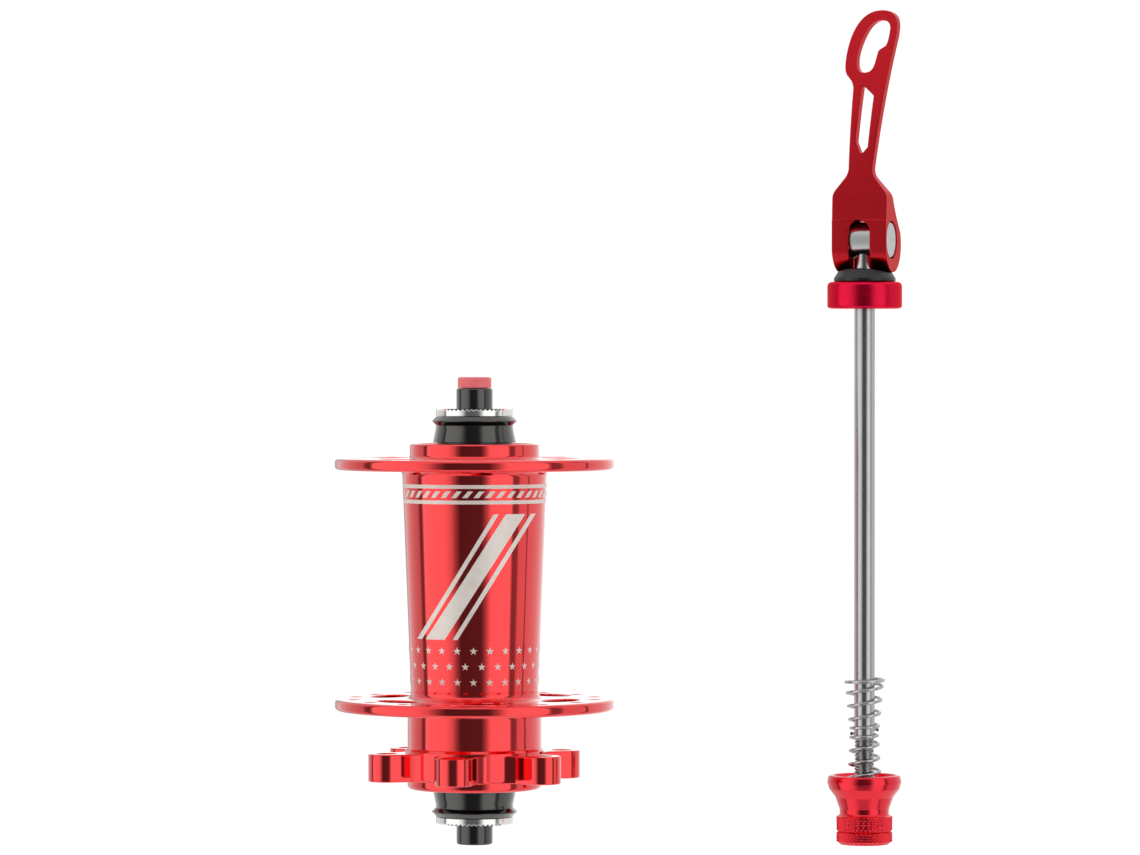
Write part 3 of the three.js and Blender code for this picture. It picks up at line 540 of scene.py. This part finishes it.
def shell():
    """The turned body, joined with the disc mount and then drilled."""
    upper, lower = UPPER_FLANGE_TOP, LOWER_FLANGE_TOP
    mount_top = DISC_SEAT + LOBE_THICKNESS
    body = solid(
        turned(
            [
                (SEAT_RADIUS, SHELL_END, 0.3),
                (BOSS_RADIUS, SHELL_END, 0.55),
                (BOSS_RADIUS, upper, 0.9),
                (FLANGE_RADIUS, upper, 0.9),
                (FLANGE_RADIUS, upper - FLANGE_THICKNESS, 0.9),
                (BARREL_UPPER, upper - FLANGE_THICKNESS, 1.6),
                (BARREL_LOWER, lower, 1.6),
                (FLANGE_RADIUS, lower, 0.9),
                (FLANGE_RADIUS, lower - FLANGE_THICKNESS, 0.9),
                (NECK_RADIUS, lower - FLANGE_THICKNESS, 1.6),
                (NECK_RADIUS, mount_top + 1.1, 0.6),
                (SHOULDER_RADIUS, mount_top + 0.45, 0.3),
                (SHOULDER_RADIUS, DISC_SEAT + 0.5, 0.3),
                (NECK_RADIUS, DISC_SEAT + 0.1, 0.2),
                (NECK_RADIUS, -SHELL_END, 1.1),
                (SEAT_RADIUS, -SHELL_END, 0.3),
                (SEAT_RADIUS, -SEAT_FLOOR),
                (CORE_RADIUS, -SEAT_FLOOR, 0.3),
                (CORE_RADIUS, SEAT_FLOOR, 0.3),
                (SEAT_RADIUS, SEAT_FLOOR),
            ],
            sides=256,
            steps=8,
        )
    )
    mount = disc_mount()
    lobes = [tuple(v.co) for v in mount.data.vertices], [list(p.vertices) for p in mount.data.polygons]
    bpy.data.objects.remove(mount)
    combined(body, "UNION", lobes)
    bolt = countersunk((BOLT_RADIUS, BOLT_RADIUS), DISC_SEAT, mount_top, BOLT_CHAMFER, 40)
    holes = flange_holes(upper, 0) + flange_holes(lower, TURN / (2 * SPOKE_COUNT))
    holes += around(bolt, LOBE_CIRCLE, LOBE_COUNT, LOBE_ANGLE)
    combined(body, "DIFFERENCE", merged(holes))
    finished(body, "shell_body", SHELL_RED, "shell", ["hub_shell"])


# ---------------------------------------------------------------- etched decoration on the barrel


def barrel_radius(z):
    length = UPPER_FLANGE_TOP - FLANGE_THICKNESS - LOWER_FLANGE_TOP
    share = (z - LOWER_FLANGE_TOP) / length
    return BARREL_LOWER + (BARREL_UPPER - BARREL_LOWER) * share


def on_barrel(angle, z, lift):
    """A point over the barrel; the angle runs from the side that faces -Y toward +X."""
    r = barrel_radius(z) + lift
    return (r * math.sin(angle), -r * math.cos(angle), z)


def slab(rows):
    """A closed thin slab that follows the barrel, from rows of (angle, z) points."""
    height, width = len(rows), len(rows[0])
    flat = [p for row in rows for p in row]
    verts = [on_barrel(a, z, ETCH_OUT) for a, z in flat] + [on_barrel(a, z, -ETCH_IN) for a, z in flat]
    under = len(flat)
    faces = []
    for i in range(height - 1):
        for j in range(width - 1):
            k = i * width + j
            faces.append([k, k + 1, k + width + 1, k + width])
            faces.append([under + k, under + k + width, under + k + width + 1, under + k + 1])
    rim = list(range(width))
    rim += [i * width + width - 1 for i in range(1, height)]
    rim += [(height - 1) * width + j for j in range(width - 2, -1, -1)]
    rim += [i * width for i in range(height - 2, 0, -1)]
    for a, b in zip(rim, rim[1:] + rim[:1]):
        faces.append([a, under + a, under + b, b])
    return verts, faces


def bar(z_low, z_high, x_low, x_high, width, facing):
    """A straight slanted bar as seen from one side, between two heights."""
    rows, along, across = [], 60, 8
    for i in range(along + 1):
        z = z_low + (z_high - z_low) * i / along
        middle = x_low + (x_high - x_low) * i / along
        row = []
        for j in range(across + 1):
            x = middle + width * (j / across - 0.5)
            row.append((facing + math.asin(x / barrel_radius(z)), z))
        rows.append(row)
    return slab(rows)


def star(angle, z, radius):
    """A five-point star with its centre at an angle and a height on the barrel."""
    r = barrel_radius(z)
    verts = [(angle, z)]
    for k in range(10):
        reach = radius if k % 2 == 0 else radius * STAR_WAIST
        turn = TURN * k / 10
        verts.append((angle + reach * math.sin(turn) / r, z + reach * math.cos(turn)))
    points = [on_barrel(a, h, ETCH_OUT) for a, h in verts] + [on_barrel(a, h, -ETCH_IN) for a, h in verts]
    faces = []
    for k in range(10):
        a, b = 1 + k, 1 + (k + 1) % 10
        faces += [[0, a, b], [11, 11 + b, 11 + a], [a, 11 + a, 11 + b, b]]
    return points, faces


def ring_line(low, high):
    """A line round the barrel between two heights."""
    sides = [(low, -ETCH_IN), (low, ETCH_OUT), (high, ETCH_OUT), (high, -ETCH_IN)]
    return turned([(barrel_radius(z) + lift, z) for z, lift in sides])


def dash(start):
    rows, steps = [], 4
    for i in range(steps + 1):
        z = DASH_LOW + DASH_HEIGHT * i / steps
        rows.append([(start + DASH_SLANT * i + DASH_ANGLE * j / 2, z) for j in range(3)])
    return slab(rows)


def decoration():
    """Etched stripes, front and back, and etched stars, as two thin pieces on the barrel."""
    dashes = [dash(TURN * k / DASH_COUNT) for k in range(DASH_COUNT)]
    bars = []
    for facing in (0, math.pi):
        bars.append(bar(BAR_LOW, BAR_HIGH, -9.2, 10, WIDE_BAR, facing))
        bars.append(bar(BAR_LOW, BAR_HIGH, -4.4, 14.2, THIN_BAR, facing))
        bars.append(bar(BAR_LOW, BAR_HIGH, -13, 5.4, THIN_BAR, facing))
    lines = [ring_line(*LOWER_LINE), ring_line(*UPPER_LINE)]
    finished(solid(merged(bars + dashes + lines)), "etched_stripes", ETCHED, "shell")
    stars = []
    for row, z in enumerate(STAR_ROWS):
        for k in range(STARS_A_ROW):
            stars.append(star(TURN * (k + 0.5 * (row % 2)) / STARS_A_ROW, z, STAR_RADIUS))
    finished(solid(merged(stars)), "etched_stars", ETCHED, "shell")


# ---------------------------------------------------------------- end caps, rings, plug, axle and bearings


def end_cap(end):
    """A cap from its stem, which holds the rubber ring, past its dust lip to the axle's end."""
    stem_end = CAP_FACE - STEM_LENGTH
    lip_foot = RING_SEAT - 2 * LIP_DEPTH
    shape = turned(
        [
            (CAP_BORE, stem_end, 0.2),
            (STEM_RADIUS, stem_end, 0.3),
            (STEM_RADIUS, GROOVE_MIDDLE - GROOVE_HALF),
            (GROOVE_RADIUS, GROOVE_MIDDLE - GROOVE_HALF),
            (GROOVE_RADIUS, GROOVE_MIDDLE + GROOVE_HALF),
            (STEM_RADIUS, GROOVE_MIDDLE + GROOVE_HALF),
            (STEM_RADIUS, CAP_FACE),
            (9, CAP_FACE, 0.1),
            (9, SHELL_END + 0.3),
            (CAP_FOOT, SHELL_END + 0.3, 0.15),
            (CAP_WAIST, lip_foot - 0.7, 0.3),
            (CAP_WAIST, lip_foot, 0.3),
            (CAP_WAIST + LIP_DEPTH, RING_SEAT - LIP_DEPTH - 0.05, 0.2),
            (CAP_WAIST, RING_SEAT, 0.15),
            (STUB_RADIUS, RING_SEAT),
            (STUB_RADIUS, AXLE_END, 0.5),
            (CAP_BORE, AXLE_END, 0.2),
        ],
        sides=160,
    )
    body, node = f"{end}_end_cap", f"end_cap_{end}"
    finished(solid(shape), f"cap_{end}", BLACK, body, [node], ENDS[end])


def locknut_ring(end):
    """A ring whose clamping face is cut into radial teeth."""

    def section(angle):
        phase = (angle * RING_TEETH / TURN) % 1
        top = RING_FACE - TOOTH_DEPTH * abs(2 * phase - 1)
        low = RING_FACE - RING_HEIGHT
        return [
            (RING_BORE, low),
            (9.2, low),
            (CAP_WAIST, low + 0.15),
            (CAP_WAIST, top - 0.12),
            (CAP_WAIST - 0.12, top),
            (5.6, top),
            (5.4, RING_FACE - 0.3),
            (RING_BORE, RING_FACE - 0.3),
        ]

    obj = solid(revolved(section, RING_TEETH * 4))
    body, node = f"{end}_end_cap", f"locknut_ring_{end}"
    finished(obj, f"serrated_ring_{end}", CHROME, body, [node], ENDS[end], sharp=25)


def o_ring(end):
    outline = arc((O_RING_CIRCLE, GROOVE_MIDDLE), O_RING_WIRE, 0, TURN * 15 / 16, 15)
    obj = solid(revolved(lambda angle: outline, 96))
    body, node = f"{end}_end_cap", f"o_ring_{end}"
    finished(obj, f"seal_ring_{end}", RUBBER, body, [node], ENDS[end], sharp=80)


def plug():
    foot = AXLE_END + 0.05
    low, high = foot - PLUG_STEM_LENGTH, foot + PLUG_HEIGHT
    corners = [
        (0, low),
        (PLUG_STEM_RADIUS, low, 0.4),
        (PLUG_STEM_RADIUS, foot),
        (PLUG_RADIUS, foot, 0.15),
        (PLUG_RADIUS, high, 0.5),
        (0, high),
    ]
    finished(solid(turned(corners, 96)), "plug_body", PLUG_PLASTIC, "plug", ["axle_plug"])


def axle():
    end, shoulder = BEARING_FACE - 0.05, SEAT_FLOOR
    corners = [
        (AXLE_BORE, -end, 0.2),
        (AXLE_RADIUS, -end, 0.25),
        (AXLE_RADIUS, -shoulder),
        (AXLE_SHOULDER, -shoulder, 0.2),
        (AXLE_SHOULDER, shoulder, 0.2),
        (AXLE_RADIUS, shoulder),
        (AXLE_RADIUS, end, 0.25),
        (AXLE_BORE, end, 0.2),
    ]
    finished(solid(turned(corners)), "axle_tube", ALUMINIUM, "axle", ["axle"])


def raceway(radius, depth):
    """The ball groove of a race, from its upper edge to its lower one."""
    half, steps = RACEWAY_HALF, 8
    heights = [half - 2 * half * k / steps for k in range(steps + 1)]
    return [(radius + depth * math.sqrt(max(0, 1 - (z / half) ** 2)), z) for z in heights]


def races(end, at):
    half = BEARING_WIDTH / 2
    outer = [
        (OUTER_RACE, -half, 0.15),
        (BEARING_RADIUS, -half, 0.3),
        (BEARING_RADIUS, half, 0.3),
        (OUTER_RACE, half, 0.15),
        *raceway(OUTER_RACE, RACEWAY_DEPTH),
    ]
    inner = [
        (BEARING_BORE, half, 0.2),
        (BEARING_BORE, -half, 0.2),
        (INNER_RACE, -half, 0.15),
        *reversed(raceway(INNER_RACE, -RACEWAY_DEPTH)),
        (INNER_RACE, half, 0.15),
    ]
    for kind, body, corners in (("outer", "shell", outer), ("inner", "axle", inner)):
        name = f"bearing_{end}_{kind}"
        finished(solid(turned(corners)), name, BEARING_STEEL, body, [f"{name}_race"], at)


def balls(end, at):
    low, high = CAGE_RADII
    half = CAGE_HALF
    cage = turned([(low, -half, 0.2), (high, -half, 0.2), (high, half, 0.2), (low, half, 0.2)], 96)
    side = arc((0, 0), BALL_RADIUS, -math.pi / 2 + 0.2, math.pi / 2 - 0.2, 12)
    profile = [(0, -BALL_RADIUS), *side, (0, BALL_RADIUS)]
    ball = revolved(lambda angle: profile, 24)
    obj = solid(merged([cage, *around(ball, BALL_CIRCLE, BALL_COUNT, 0)]))
    name, node = f"bearing_{end}_balls", f"bearing_{end}_ball_cage"
    finished(obj, name, BEARING_STEEL, f"cage_{end}", [node], at)


def seals(end, at):
    for side, name in ((1, "outer"), (-1, "inner")):
        face = side * (BEARING_WIDTH / 2 - 0.15)
        back = face - side * SEAL_THICKNESS
        sunk = face - side * SEAL_HOLLOW
        corners = [
            (9.4, back),
            (12.1, back),
            (12.1, face, 0.1),
            (11.6, face, 0.1),
            (11.4, sunk, 0.05),
            (9.9, sunk, 0.05),
            (9.7, face, 0.1),
            (9.4, face, 0.1),
        ]
        lip, node = f"bearing_{end}_{name}_lip", f"bearing_{end}_{name}_seal"
        finished(solid(turned(corners)), lip, RUBBER, "shell", [node], at)


def bearing(end):
    at = ENDS[end] @ Matrix.Translation((0, 0, BEARING_MIDDLE))
    races(end, at)
    balls(end, at)
    seals(end, at)


# ---------------------------------------------------------------- skewer


def rod():
    """The rod, with its screw thread drawn as a helical zigzag on the lower end."""
    step = THREAD_PITCH / 8
    start = ROD_LOW + ROD_CHAMFER
    count = int((THREAD_TOP - start) / step)
    heights = [start + step * k for k in range(count + 1)]

    def section(angle):
        points = [(0, ROD_LOW), (ROD_RADIUS - ROD_CHAMFER, ROD_LOW)]
        for z in heights:
            phase = (z / THREAD_PITCH - angle / TURN) % 1
            fade = min(1, (THREAD_TOP - z) / THREAD_PITCH)
            points.append((ROD_RADIUS - fade * THREAD_DEPTH * abs(2 * phase - 1), z))
        points += [(ROD_RADIUS, THREAD_TOP + 0.3), (ROD_RADIUS, ROD_HIGH - ROD_CHAMFER)]
        points += [(ROD_RADIUS - ROD_CHAMFER, ROD_HIGH), (0, ROD_HIGH)]
        return points

    obj = solid(revolved(section, 48))
    finished(obj, "rod_body", STEEL, "skewer", ["skewer_rod"], SKEWER, sharp=50)


def pin():
    half = LEVER_HALF_WIDTH - 0.2
    corners = [(0, -half), (PIN_RADIUS, -half, 0.35), (PIN_RADIUS, half, 0.35), (0, half)]
    obj = solid(moved(turned(corners, 96), ACROSS))
    hole = turned([(0, -9), (ROD_CLEARANCE, -9), (ROD_CLEARANCE, 2.3), (0, 2.3)], 64)
    combined(obj, "DIFFERENCE", hole)
    finished(obj, "pin_body", STEEL, "skewer", ["cam_pin"], CAM)


def washer():
    """A domed washer with a shallow saddle across its top for the cam."""
    foot = WASHER_LOW - PIVOT_Z
    corners = [
        (ROD_CLEARANCE, foot, 0.2),
        (WASHER_RADIUS, foot, 0.25),
        (WASHER_RADIUS, foot + 0.8, 0.3),
        (5.9, foot + WASHER_HEIGHT, 1.2),
        (ROD_CLEARANCE, foot + WASHER_HEIGHT),
    ]
    obj = solid(turned(corners, 96))
    saddle = turned([(0, -15), (SADDLE_RADIUS, -15), (SADDLE_RADIUS, 15), (0, 15)], 160)
    up = Matrix.Translation((0, 0, foot + SADDLE_RADIUS + 2)) @ ACROSS
    combined(obj, "DIFFERENCE", moved(saddle, up))
    finished(obj, "washer_body", WASHER_PLASTIC, "collar", ["cam_washer"], CAM)


def collar():
    corners = [
        (ROD_CLEARANCE, COLLAR_LOW, 0.3),
        (COLLAR_RADIUS - 1.1, COLLAR_LOW, 0.2),
        (COLLAR_RADIUS, COLLAR_LOW + 0.25, 0.6),
        (COLLAR_RADIUS, COLLAR_HIGH, 1.1),
        (ROD_CLEARANCE, COLLAR_HIGH, 0.3),
    ]
    obj = solid(turned(corners, 160))
    finished(obj, "collar_body", COLLAR_RED, "collar", ["end_collar"], SKEWER)


def arm_point(along, from_front):
    """A point (depth, height) on the lever's arm, at a distance along it from the crease."""
    lean = ARM_LEAN + along / ARM_RADIUS
    depth = -LEVER_FRONT + ARM_RADIUS * (math.cos(ARM_LEAN) - math.cos(lean))
    height = LEVER_CREASE + ARM_RADIUS * (math.sin(lean) - math.sin(ARM_LEAN))
    return depth + from_front * math.cos(lean), height - from_front * math.sin(lean)


def lever_side():
    """The lever's outline (depth, height) seen from the side: crease, cam, back and front of the arm."""
    front = math.pi + math.acos((LEVER_FRONT + CAM_CENTRE[0]) / CAM_RADIUS)
    points = [Vector((-LEVER_FRONT + 0.18, LEVER_CREASE + 0.1)), Vector((-LEVER_FRONT, LEVER_CREASE - 0.15))]
    points += arc(CAM_CENTRE, CAM_RADIUS, front, TURN + math.radians(25), 48)
    bend, start = arm_point(ARM_BACK_START / 2, ARM_THICKNESS), arm_point(ARM_BACK_START, ARM_THICKNESS)
    points += path(points[-1], (bend, start), steps=12)[1:]
    for k in range(1, 25):
        along = ARM_BACK_START + (ARM_LENGTH - ARM_BACK_START) * k / 24
        points.append(Vector(arm_point(along, ARM_THICKNESS)))
    for k in range(20, 1, -1):
        points.append(Vector(arm_point(ARM_LENGTH * k / 20, 0)))
    return points


def lever_front():
    """The lever's outline (across, height) seen from the front."""
    wide, neck, top, low, high = LEVER_HALF_WIDTH, NECK_HALF, HEAD_TOP, SHOULDER_HEIGHT, NECK_HEIGHT
    return path(
        (-wide, -2 * CAM_RADIUS),
        [(wide, -2 * CAM_RADIUS)],
        [(wide, low)],
        [(wide, low + 1.1), (wide - 0.9, low + 2.1)],
        [(neck + 0.6, high - 2.7)],
        [(neck - 0.25, high - 1.6), (neck - 0.05, high)],
        [(neck + 2.55, top - 7)],
        [(neck + 2.8, top - 2.4), (neck + 1.6, top), (neck - 2.1, top)],
        [(-neck + 0.4, top), (-neck - 1.6, top - 2.4), (-neck - 2.6, top - 6.4)],
        [(-neck - 3.3, top - 9.4), (-neck - 3.4, top - 13), (-neck - 3, top - 14.8)],
        [(-neck - 2.5, top - 17), (-neck - 0.6, top - 16.8), (-neck - 0.45, top - 19.8)],
        [(-neck - 0.05, high)],
        [(-neck + 0.05, high - 1.6), (-neck - 0.9, high - 2.8)],
        [(-wide + 0.7, low + 2.1)],
        [(-wide, low + 1.2), (-wide, low)],
    )


def finger_hole():
    top = HEAD_TOP - 2.5
    return path(
        (-1.2, top - 13),
        [(0.2, top - 13), (1, top - 12.3), (1.25, top - 10.3)],
        [(1.6, top - 7.9)],
        [(1.8, top - 7.2), (2.6, top - 7), (3.2, top - 6.5)],
        [(3.7, top - 6), (3.85, top - 4.5), (3.8, top - 2.3)],
        [(3.7, top - 0.5), (2.4, top + 0.1), (0.9, top - 0.1)],
        [(-1.4, top - 0.3), (-2.2, top - 2.9), (-2.8, top - 4.9)],
        [(-3.4, top - 7.1), (-3.7, top - 8.9), (-3.35, top - 10.9)],
        [(-3.1, top - 12.3), (-2.3, top - 13), (-1.2, top - 13)],
    )[:-1]


def arm_slot():
    low, high = NECK_HEIGHT + 2.8, HEAD_TOP - 18.4
    corners = [(-0.2, low, 0.6), (1.4, low + 1.9, 0.4), (1.85, high - 2.8, 0.6), (-1.3, high, 0.5)]
    return rounded([*corners, (-1.65, low + 3.2, 0.5)])


def lever():
    """The side and the front outlines crossed, then cut for the rod, the pin, the finger and the slot."""

    def across(x, y, d):
        return (d, x, y)

    def through(x, y, d):
        return (x, d, y)

    obj = solid(prism(lever_side(), -LEVER_HALF_WIDTH - OVER, LEVER_HALF_WIDTH + OVER, across))
    combined(obj, "INTERSECT", prism(lever_front(), -FAR, FAR, through))
    half = ROD_CLEARANCE
    slot = [Vector((half, -FAR / 2)), *arc((0, 4.6 - half), half, 0, math.pi, 24), Vector((-half, -FAR / 2))]
    for outline in (slot, finger_hole(), arm_slot()):
        combined(obj, "DIFFERENCE", prism(outline, -FAR, FAR, through))
    reach, radius = FAR / 2, PIN_HOLE_RADIUS
    pin_hole = turned([(0, -reach), (radius, -reach), (radius, reach), (0, reach)], 96)
    combined(obj, "DIFFERENCE", moved(pin_hole, ACROSS))
    softened(obj, LEVER_EDGE, 3, 50)
    finished(obj, "lever_body", LEVER_RED, "lever", ["lever"], CAM, sharp=28)


def nut():
    """The adjusting nut, with a diamond knurl in two bands and a flared cup for the spring."""
    bands = [(NUT_LOW + 0.7, NUT_LOW + 2.95), (NUT_LOW + 3.45, NUT_LOW + 6.8)]

    def knurled(angle, z):
        tooth = angle * KNURL_TEETH / TURN
        u = (tooth + z / KNURL_PITCH) % 1
        v = (tooth - z / KNURL_PITCH) % 1
        return KNURL_RADIUS + KNURL_DEPTH * min(1 - abs(2 * u - 1), 1 - abs(2 * v - 1), KNURL_FLAT)

    outside = rounded(
        [
            (6.2, NUT_LOW + 7.0),
            (5.9, NUT_LOW + 7.5, 0.3),
            (6.0, NUT_LOW + 8.6, 0.8),
            (7.0, NUT_LOW + 11.4, 0.6),
            (8.5, NUT_LOW + 13.4, 1.2),
            (8.98, NUT_LOW + 15.1, 1.2),
            (8.6, NUT_LOW + NUT_HEIGHT, 0.7),
            (7.6, NUT_LOW + NUT_HEIGHT, 0.4),
            (5.4, NUT_LOW + 13, 0.3),
            (4.1, NUT_LOW + 13),
            (4.1, NUT_LOW + 1.6),
            (2.7, NUT_LOW + 1.6),
            (2.7, NUT_LOW, 0.2),
            (5.9, NUT_LOW, 0.2),
            (6.35, NUT_LOW + 0.5, 0.1),
        ]
    )

    def section(angle):
        points = []
        for low, high in bands:
            for k in range(KNURL_STEPS + 1):
                z = low + (high - low) * k / KNURL_STEPS
                points.append((knurled(angle, z), z))
            points.append((6.3, high + 0.12))
        return points + outside

    obj = solid(revolved(section, KNURL_TEETH * 8))
    finished(obj, "nut_body", NUT_RED, "nut", ["adjusting_nut"], SKEWER, sharp=28)


def nut_insert():
    low, high = NUT_LOW + 1.65, NUT_LOW + 12.9
    bore, wide = ROD_RADIUS + 0.1, INSERT_RADIUS
    corners = [(bore, low, 0.2), (wide, low, 0.2), (wide, high, 0.3), (bore, high, 0.3)]
    obj = solid(turned(corners, 64))
    finished(obj, "insert_body", BEARING_STEEL, "nut", ["nut_insert"], SKEWER)


def spring(node, low_radius, high_radius, low, high, turns):
    """A conical wire spring, whose first and last coils are drawn closer together."""
    wire, closed_pitch, around_wire, per_turn = SPRING_WIRE, SPRING_CLOSED_PITCH, 12, 40
    open_pitch = (high - low - 2 * wire - 2 * closed_pitch) / (turns - 2)
    count = int(turns * per_turn)
    centres = []
    for k in range(count + 1):
        t = k / count
        angle = TURN * turns * t
        r = low_radius + (high_radius - low_radius) * t
        open_turns = min(max(turns * t - 1, 0), turns - 2)
        z = low + wire + (turns * t - open_turns) * closed_pitch + open_turns * open_pitch
        centres.append(Vector((r * math.cos(angle), r * math.sin(angle), z)))
    verts, faces = [], []
    for k, centre in enumerate(centres):
        along = (centres[min(k + 1, count)] - centres[max(k - 1, 0)]).normalized()
        out = Vector((centre.x, centre.y, 0)).normalized()
        up = along.cross(out).normalized()
        out = up.cross(along)
        for j in range(around_wire):
            a = TURN * j / around_wire
            verts.append(tuple(centre + out * (wire * math.cos(a)) + up * (wire * math.sin(a))))
    for k in range(count):
        for j in range(around_wire):
            m = (j + 1) % around_wire
            here, there = k * around_wire, (k + 1) * around_wire
            faces.append([here + j, here + m, there + m, there + j])
    faces.append(list(range(around_wire)))
    faces.append(list(range(count * around_wire, (count + 1) * around_wire)))
    obj = solid((verts, faces))
    finished(obj, f"{node}_wire", STEEL, "springs", [node], SKEWER, sharp=50)


# ---------------------------------------------------------------- studio


# How bright the studio is at each azimuth, in degrees from the side that faces -Y: soft boxes and dark
# gaps. Above and below, where a direction's height passes the two shares of STEEP, it is an even white.
STEEP = (0.5, 0.8)
STUDIO_TOP = 1.3
BACKGROUND = 1.05
STUDIO = [
    (-180, 1.15),
    (-172, 1.1),
    (-168, 0.5),
    (-160, 0.5),
    (-150, 0.85),
    (-115, 0.7),
    (-104, 0.65),
    (-100, 0.2),
    (-94, 0.2),
    (-91, 1.3),
    (-50, 1.2),
    (-38, 0.85),
    (-31, 0.4),
    (-23, 0.1),
    (13, 0.12),
    (20, 0.45),
    (29, 1.2),
    (63, 1.25),
    (67, 0.25),
    (76, 0.3),
    (80, 0.85),
    (130, 0.85),
    (160, 0.95),
    (180, 1.15),
]

FLOOR_DROP = 15
FLOOR_RADIUS = 260
FLOOR_GLOW = 0.35


def studio_light():
    """The studio as a world of soft boxes for the light, and plain white for the camera."""
    world = bpy.data.worlds.new("studio")
    bpy.context.scene.world = world
    world.use_nodes = True
    tree = world.node_tree
    tree.nodes.clear()
    direction = tree.nodes.new("ShaderNodeTexCoord").outputs["Generated"]
    split = tree.nodes.new("ShaderNodeSeparateXYZ")
    tree.links.new(direction, split.inputs[0])
    toward = math_node(tree, "MULTIPLY", split.outputs["Y"], -1)
    azimuth = math_node(tree, "ARCTAN2", split.outputs["X"], toward)
    share = math_node(tree, "ADD", math_node(tree, "DIVIDE", azimuth, TURN), 0.5)
    steep = tree.nodes.new("ShaderNodeMapRange")
    steep.inputs["From Min"].default_value, steep.inputs["From Max"].default_value = STEEP
    tree.links.new(math_node(tree, "ABSOLUTE", split.outputs["Z"], 0), steep.inputs["Value"])
    level = curve_node(tree, share)
    mix = tree.nodes.new("ShaderNodeMix")
    mix.data_type = "FLOAT"
    mix.inputs["B"].default_value = 1.0
    tree.links.new(steep.outputs["Result"], mix.inputs["Factor"])
    tree.links.new(level, mix.inputs["A"])
    lit = tree.nodes.new("ShaderNodeBackground")
    tree.links.new(mix.outputs["Result"], lit.inputs["Strength"])
    lit.inputs["Color"].default_value = (1, 0.995, 0.985, 1)
    plain = tree.nodes.new("ShaderNodeBackground")
    plain.inputs["Color"].default_value = (1, 1, 1, 1)
    plain.inputs["Strength"].default_value = BACKGROUND
    seen = tree.nodes.new("ShaderNodeLightPath").outputs["Is Camera Ray"]
    choose = tree.nodes.new("ShaderNodeMixShader")
    tree.links.new(seen, choose.inputs["Fac"])
    tree.links.new(lit.outputs[0], choose.inputs[1])
    tree.links.new(plain.outputs[0], choose.inputs[2])
    out = tree.nodes.new("ShaderNodeOutputWorld")
    tree.links.new(choose.outputs[0], out.inputs["Surface"])


def math_node(tree, operation, a, b):
    node = tree.nodes.new("ShaderNodeMath")
    node.operation = operation
    for socket, value in zip(node.inputs, (a, b)):
        if isinstance(value, (int, float)):
            socket.default_value = value
        else:
            tree.links.new(value, socket)
    return node.outputs[0]


def curve_node(tree, share):
    """The studio's brightness as a curve over the azimuth's share of a full turn."""
    node = tree.nodes.new("ShaderNodeFloatCurve")
    curve = node.mapping.curves[0]
    for azimuth, level in STUDIO[1:-1]:
        curve.points.new((azimuth + 180) / 360, level / STUDIO_TOP)
    curve.points[0].location = (0, STUDIO[0][1] / STUDIO_TOP)
    curve.points[-1].location = (1, STUDIO[-1][1] / STUDIO_TOP)
    for point in curve.points:
        point.handle_type = "VECTOR"
    node.mapping.update()
    tree.links.new(share, node.inputs["Value"])
    return math_node(tree, "MULTIPLY", node.outputs[0], STUDIO_TOP)


def floor():
    """A plain pale round floor, low enough for the lower cap to slide off above it.

    Polished surfaces don't mirror it, so the lower end cap shows the same bands of light as the upper one.
    """
    top = -AXLE_END - FLOOR_DROP
    corners = [(0, top - 3), (FLOOR_RADIUS, top - 3, 0.5), (FLOOR_RADIUS, top, 1), (0, top)]
    obj = solid(turned(corners, 128), "floor")
    middle = (corner("lever", 1, 0) + corner("hub_shell", 0, 0)) / 2
    obj.data.transform(Matrix.Scale(MM, 4) @ Matrix.Translation((middle, 0, 0)))
    material = finish("floor_white", (0.9, 0.9, 0.9), 0.6, metallic=0, mottle=0.01)
    shader = material.node_tree.nodes["Principled BSDF"]
    shader.inputs["Emission Color"].default_value = (1, 1, 1, 1)
    shader.inputs["Emission Strength"].default_value = FLOOR_GLOW
    obj.data.materials.append(material)
    obj.visible_glossy = False


def camera():
    """Level with the upper part of the hub, so that the lower flange shows a little of its top."""
    distance, eye_height, frame_width = 1.384, 0.063, 0.2747
    centre = Vector((0.023, 0, 0.0455))
    data = bpy.data.cameras.new("camera")
    data.sensor_width = 36
    data.lens = data.sensor_width * distance / frame_width
    obj = bpy.data.objects.new("camera", data)
    bpy.context.scene.collection.objects.link(obj)
    obj.location = (centre.x, -distance, eye_height)
    obj.rotation_euler = (centre - obj.location).to_track_quat("-Z", "Y").to_euler()
    bpy.context.scene.camera = obj


shell()
decoration()
for side in ENDS:
    end_cap(side)
    locknut_ring(side)
    o_ring(side)
    bearing(side)
plug()
axle()
rod()
pin()
washer()
collar()
lever()
nut()
nut_insert()
spring("spring_lower", 4.0, SPRING_MIDDLE_RADIUS, NUT_LOW + 13.1, NUT_LOW + 27.1, 5.5)
spring("spring_upper", SPRING_MIDDLE_RADIUS, 4.7, NUT_LOW + 27.2, NUT_LOW + 40.2, 5.25)
floor()
studio_light()
camera()
bpy.context.scene.view_settings.view_transform = "Standard"
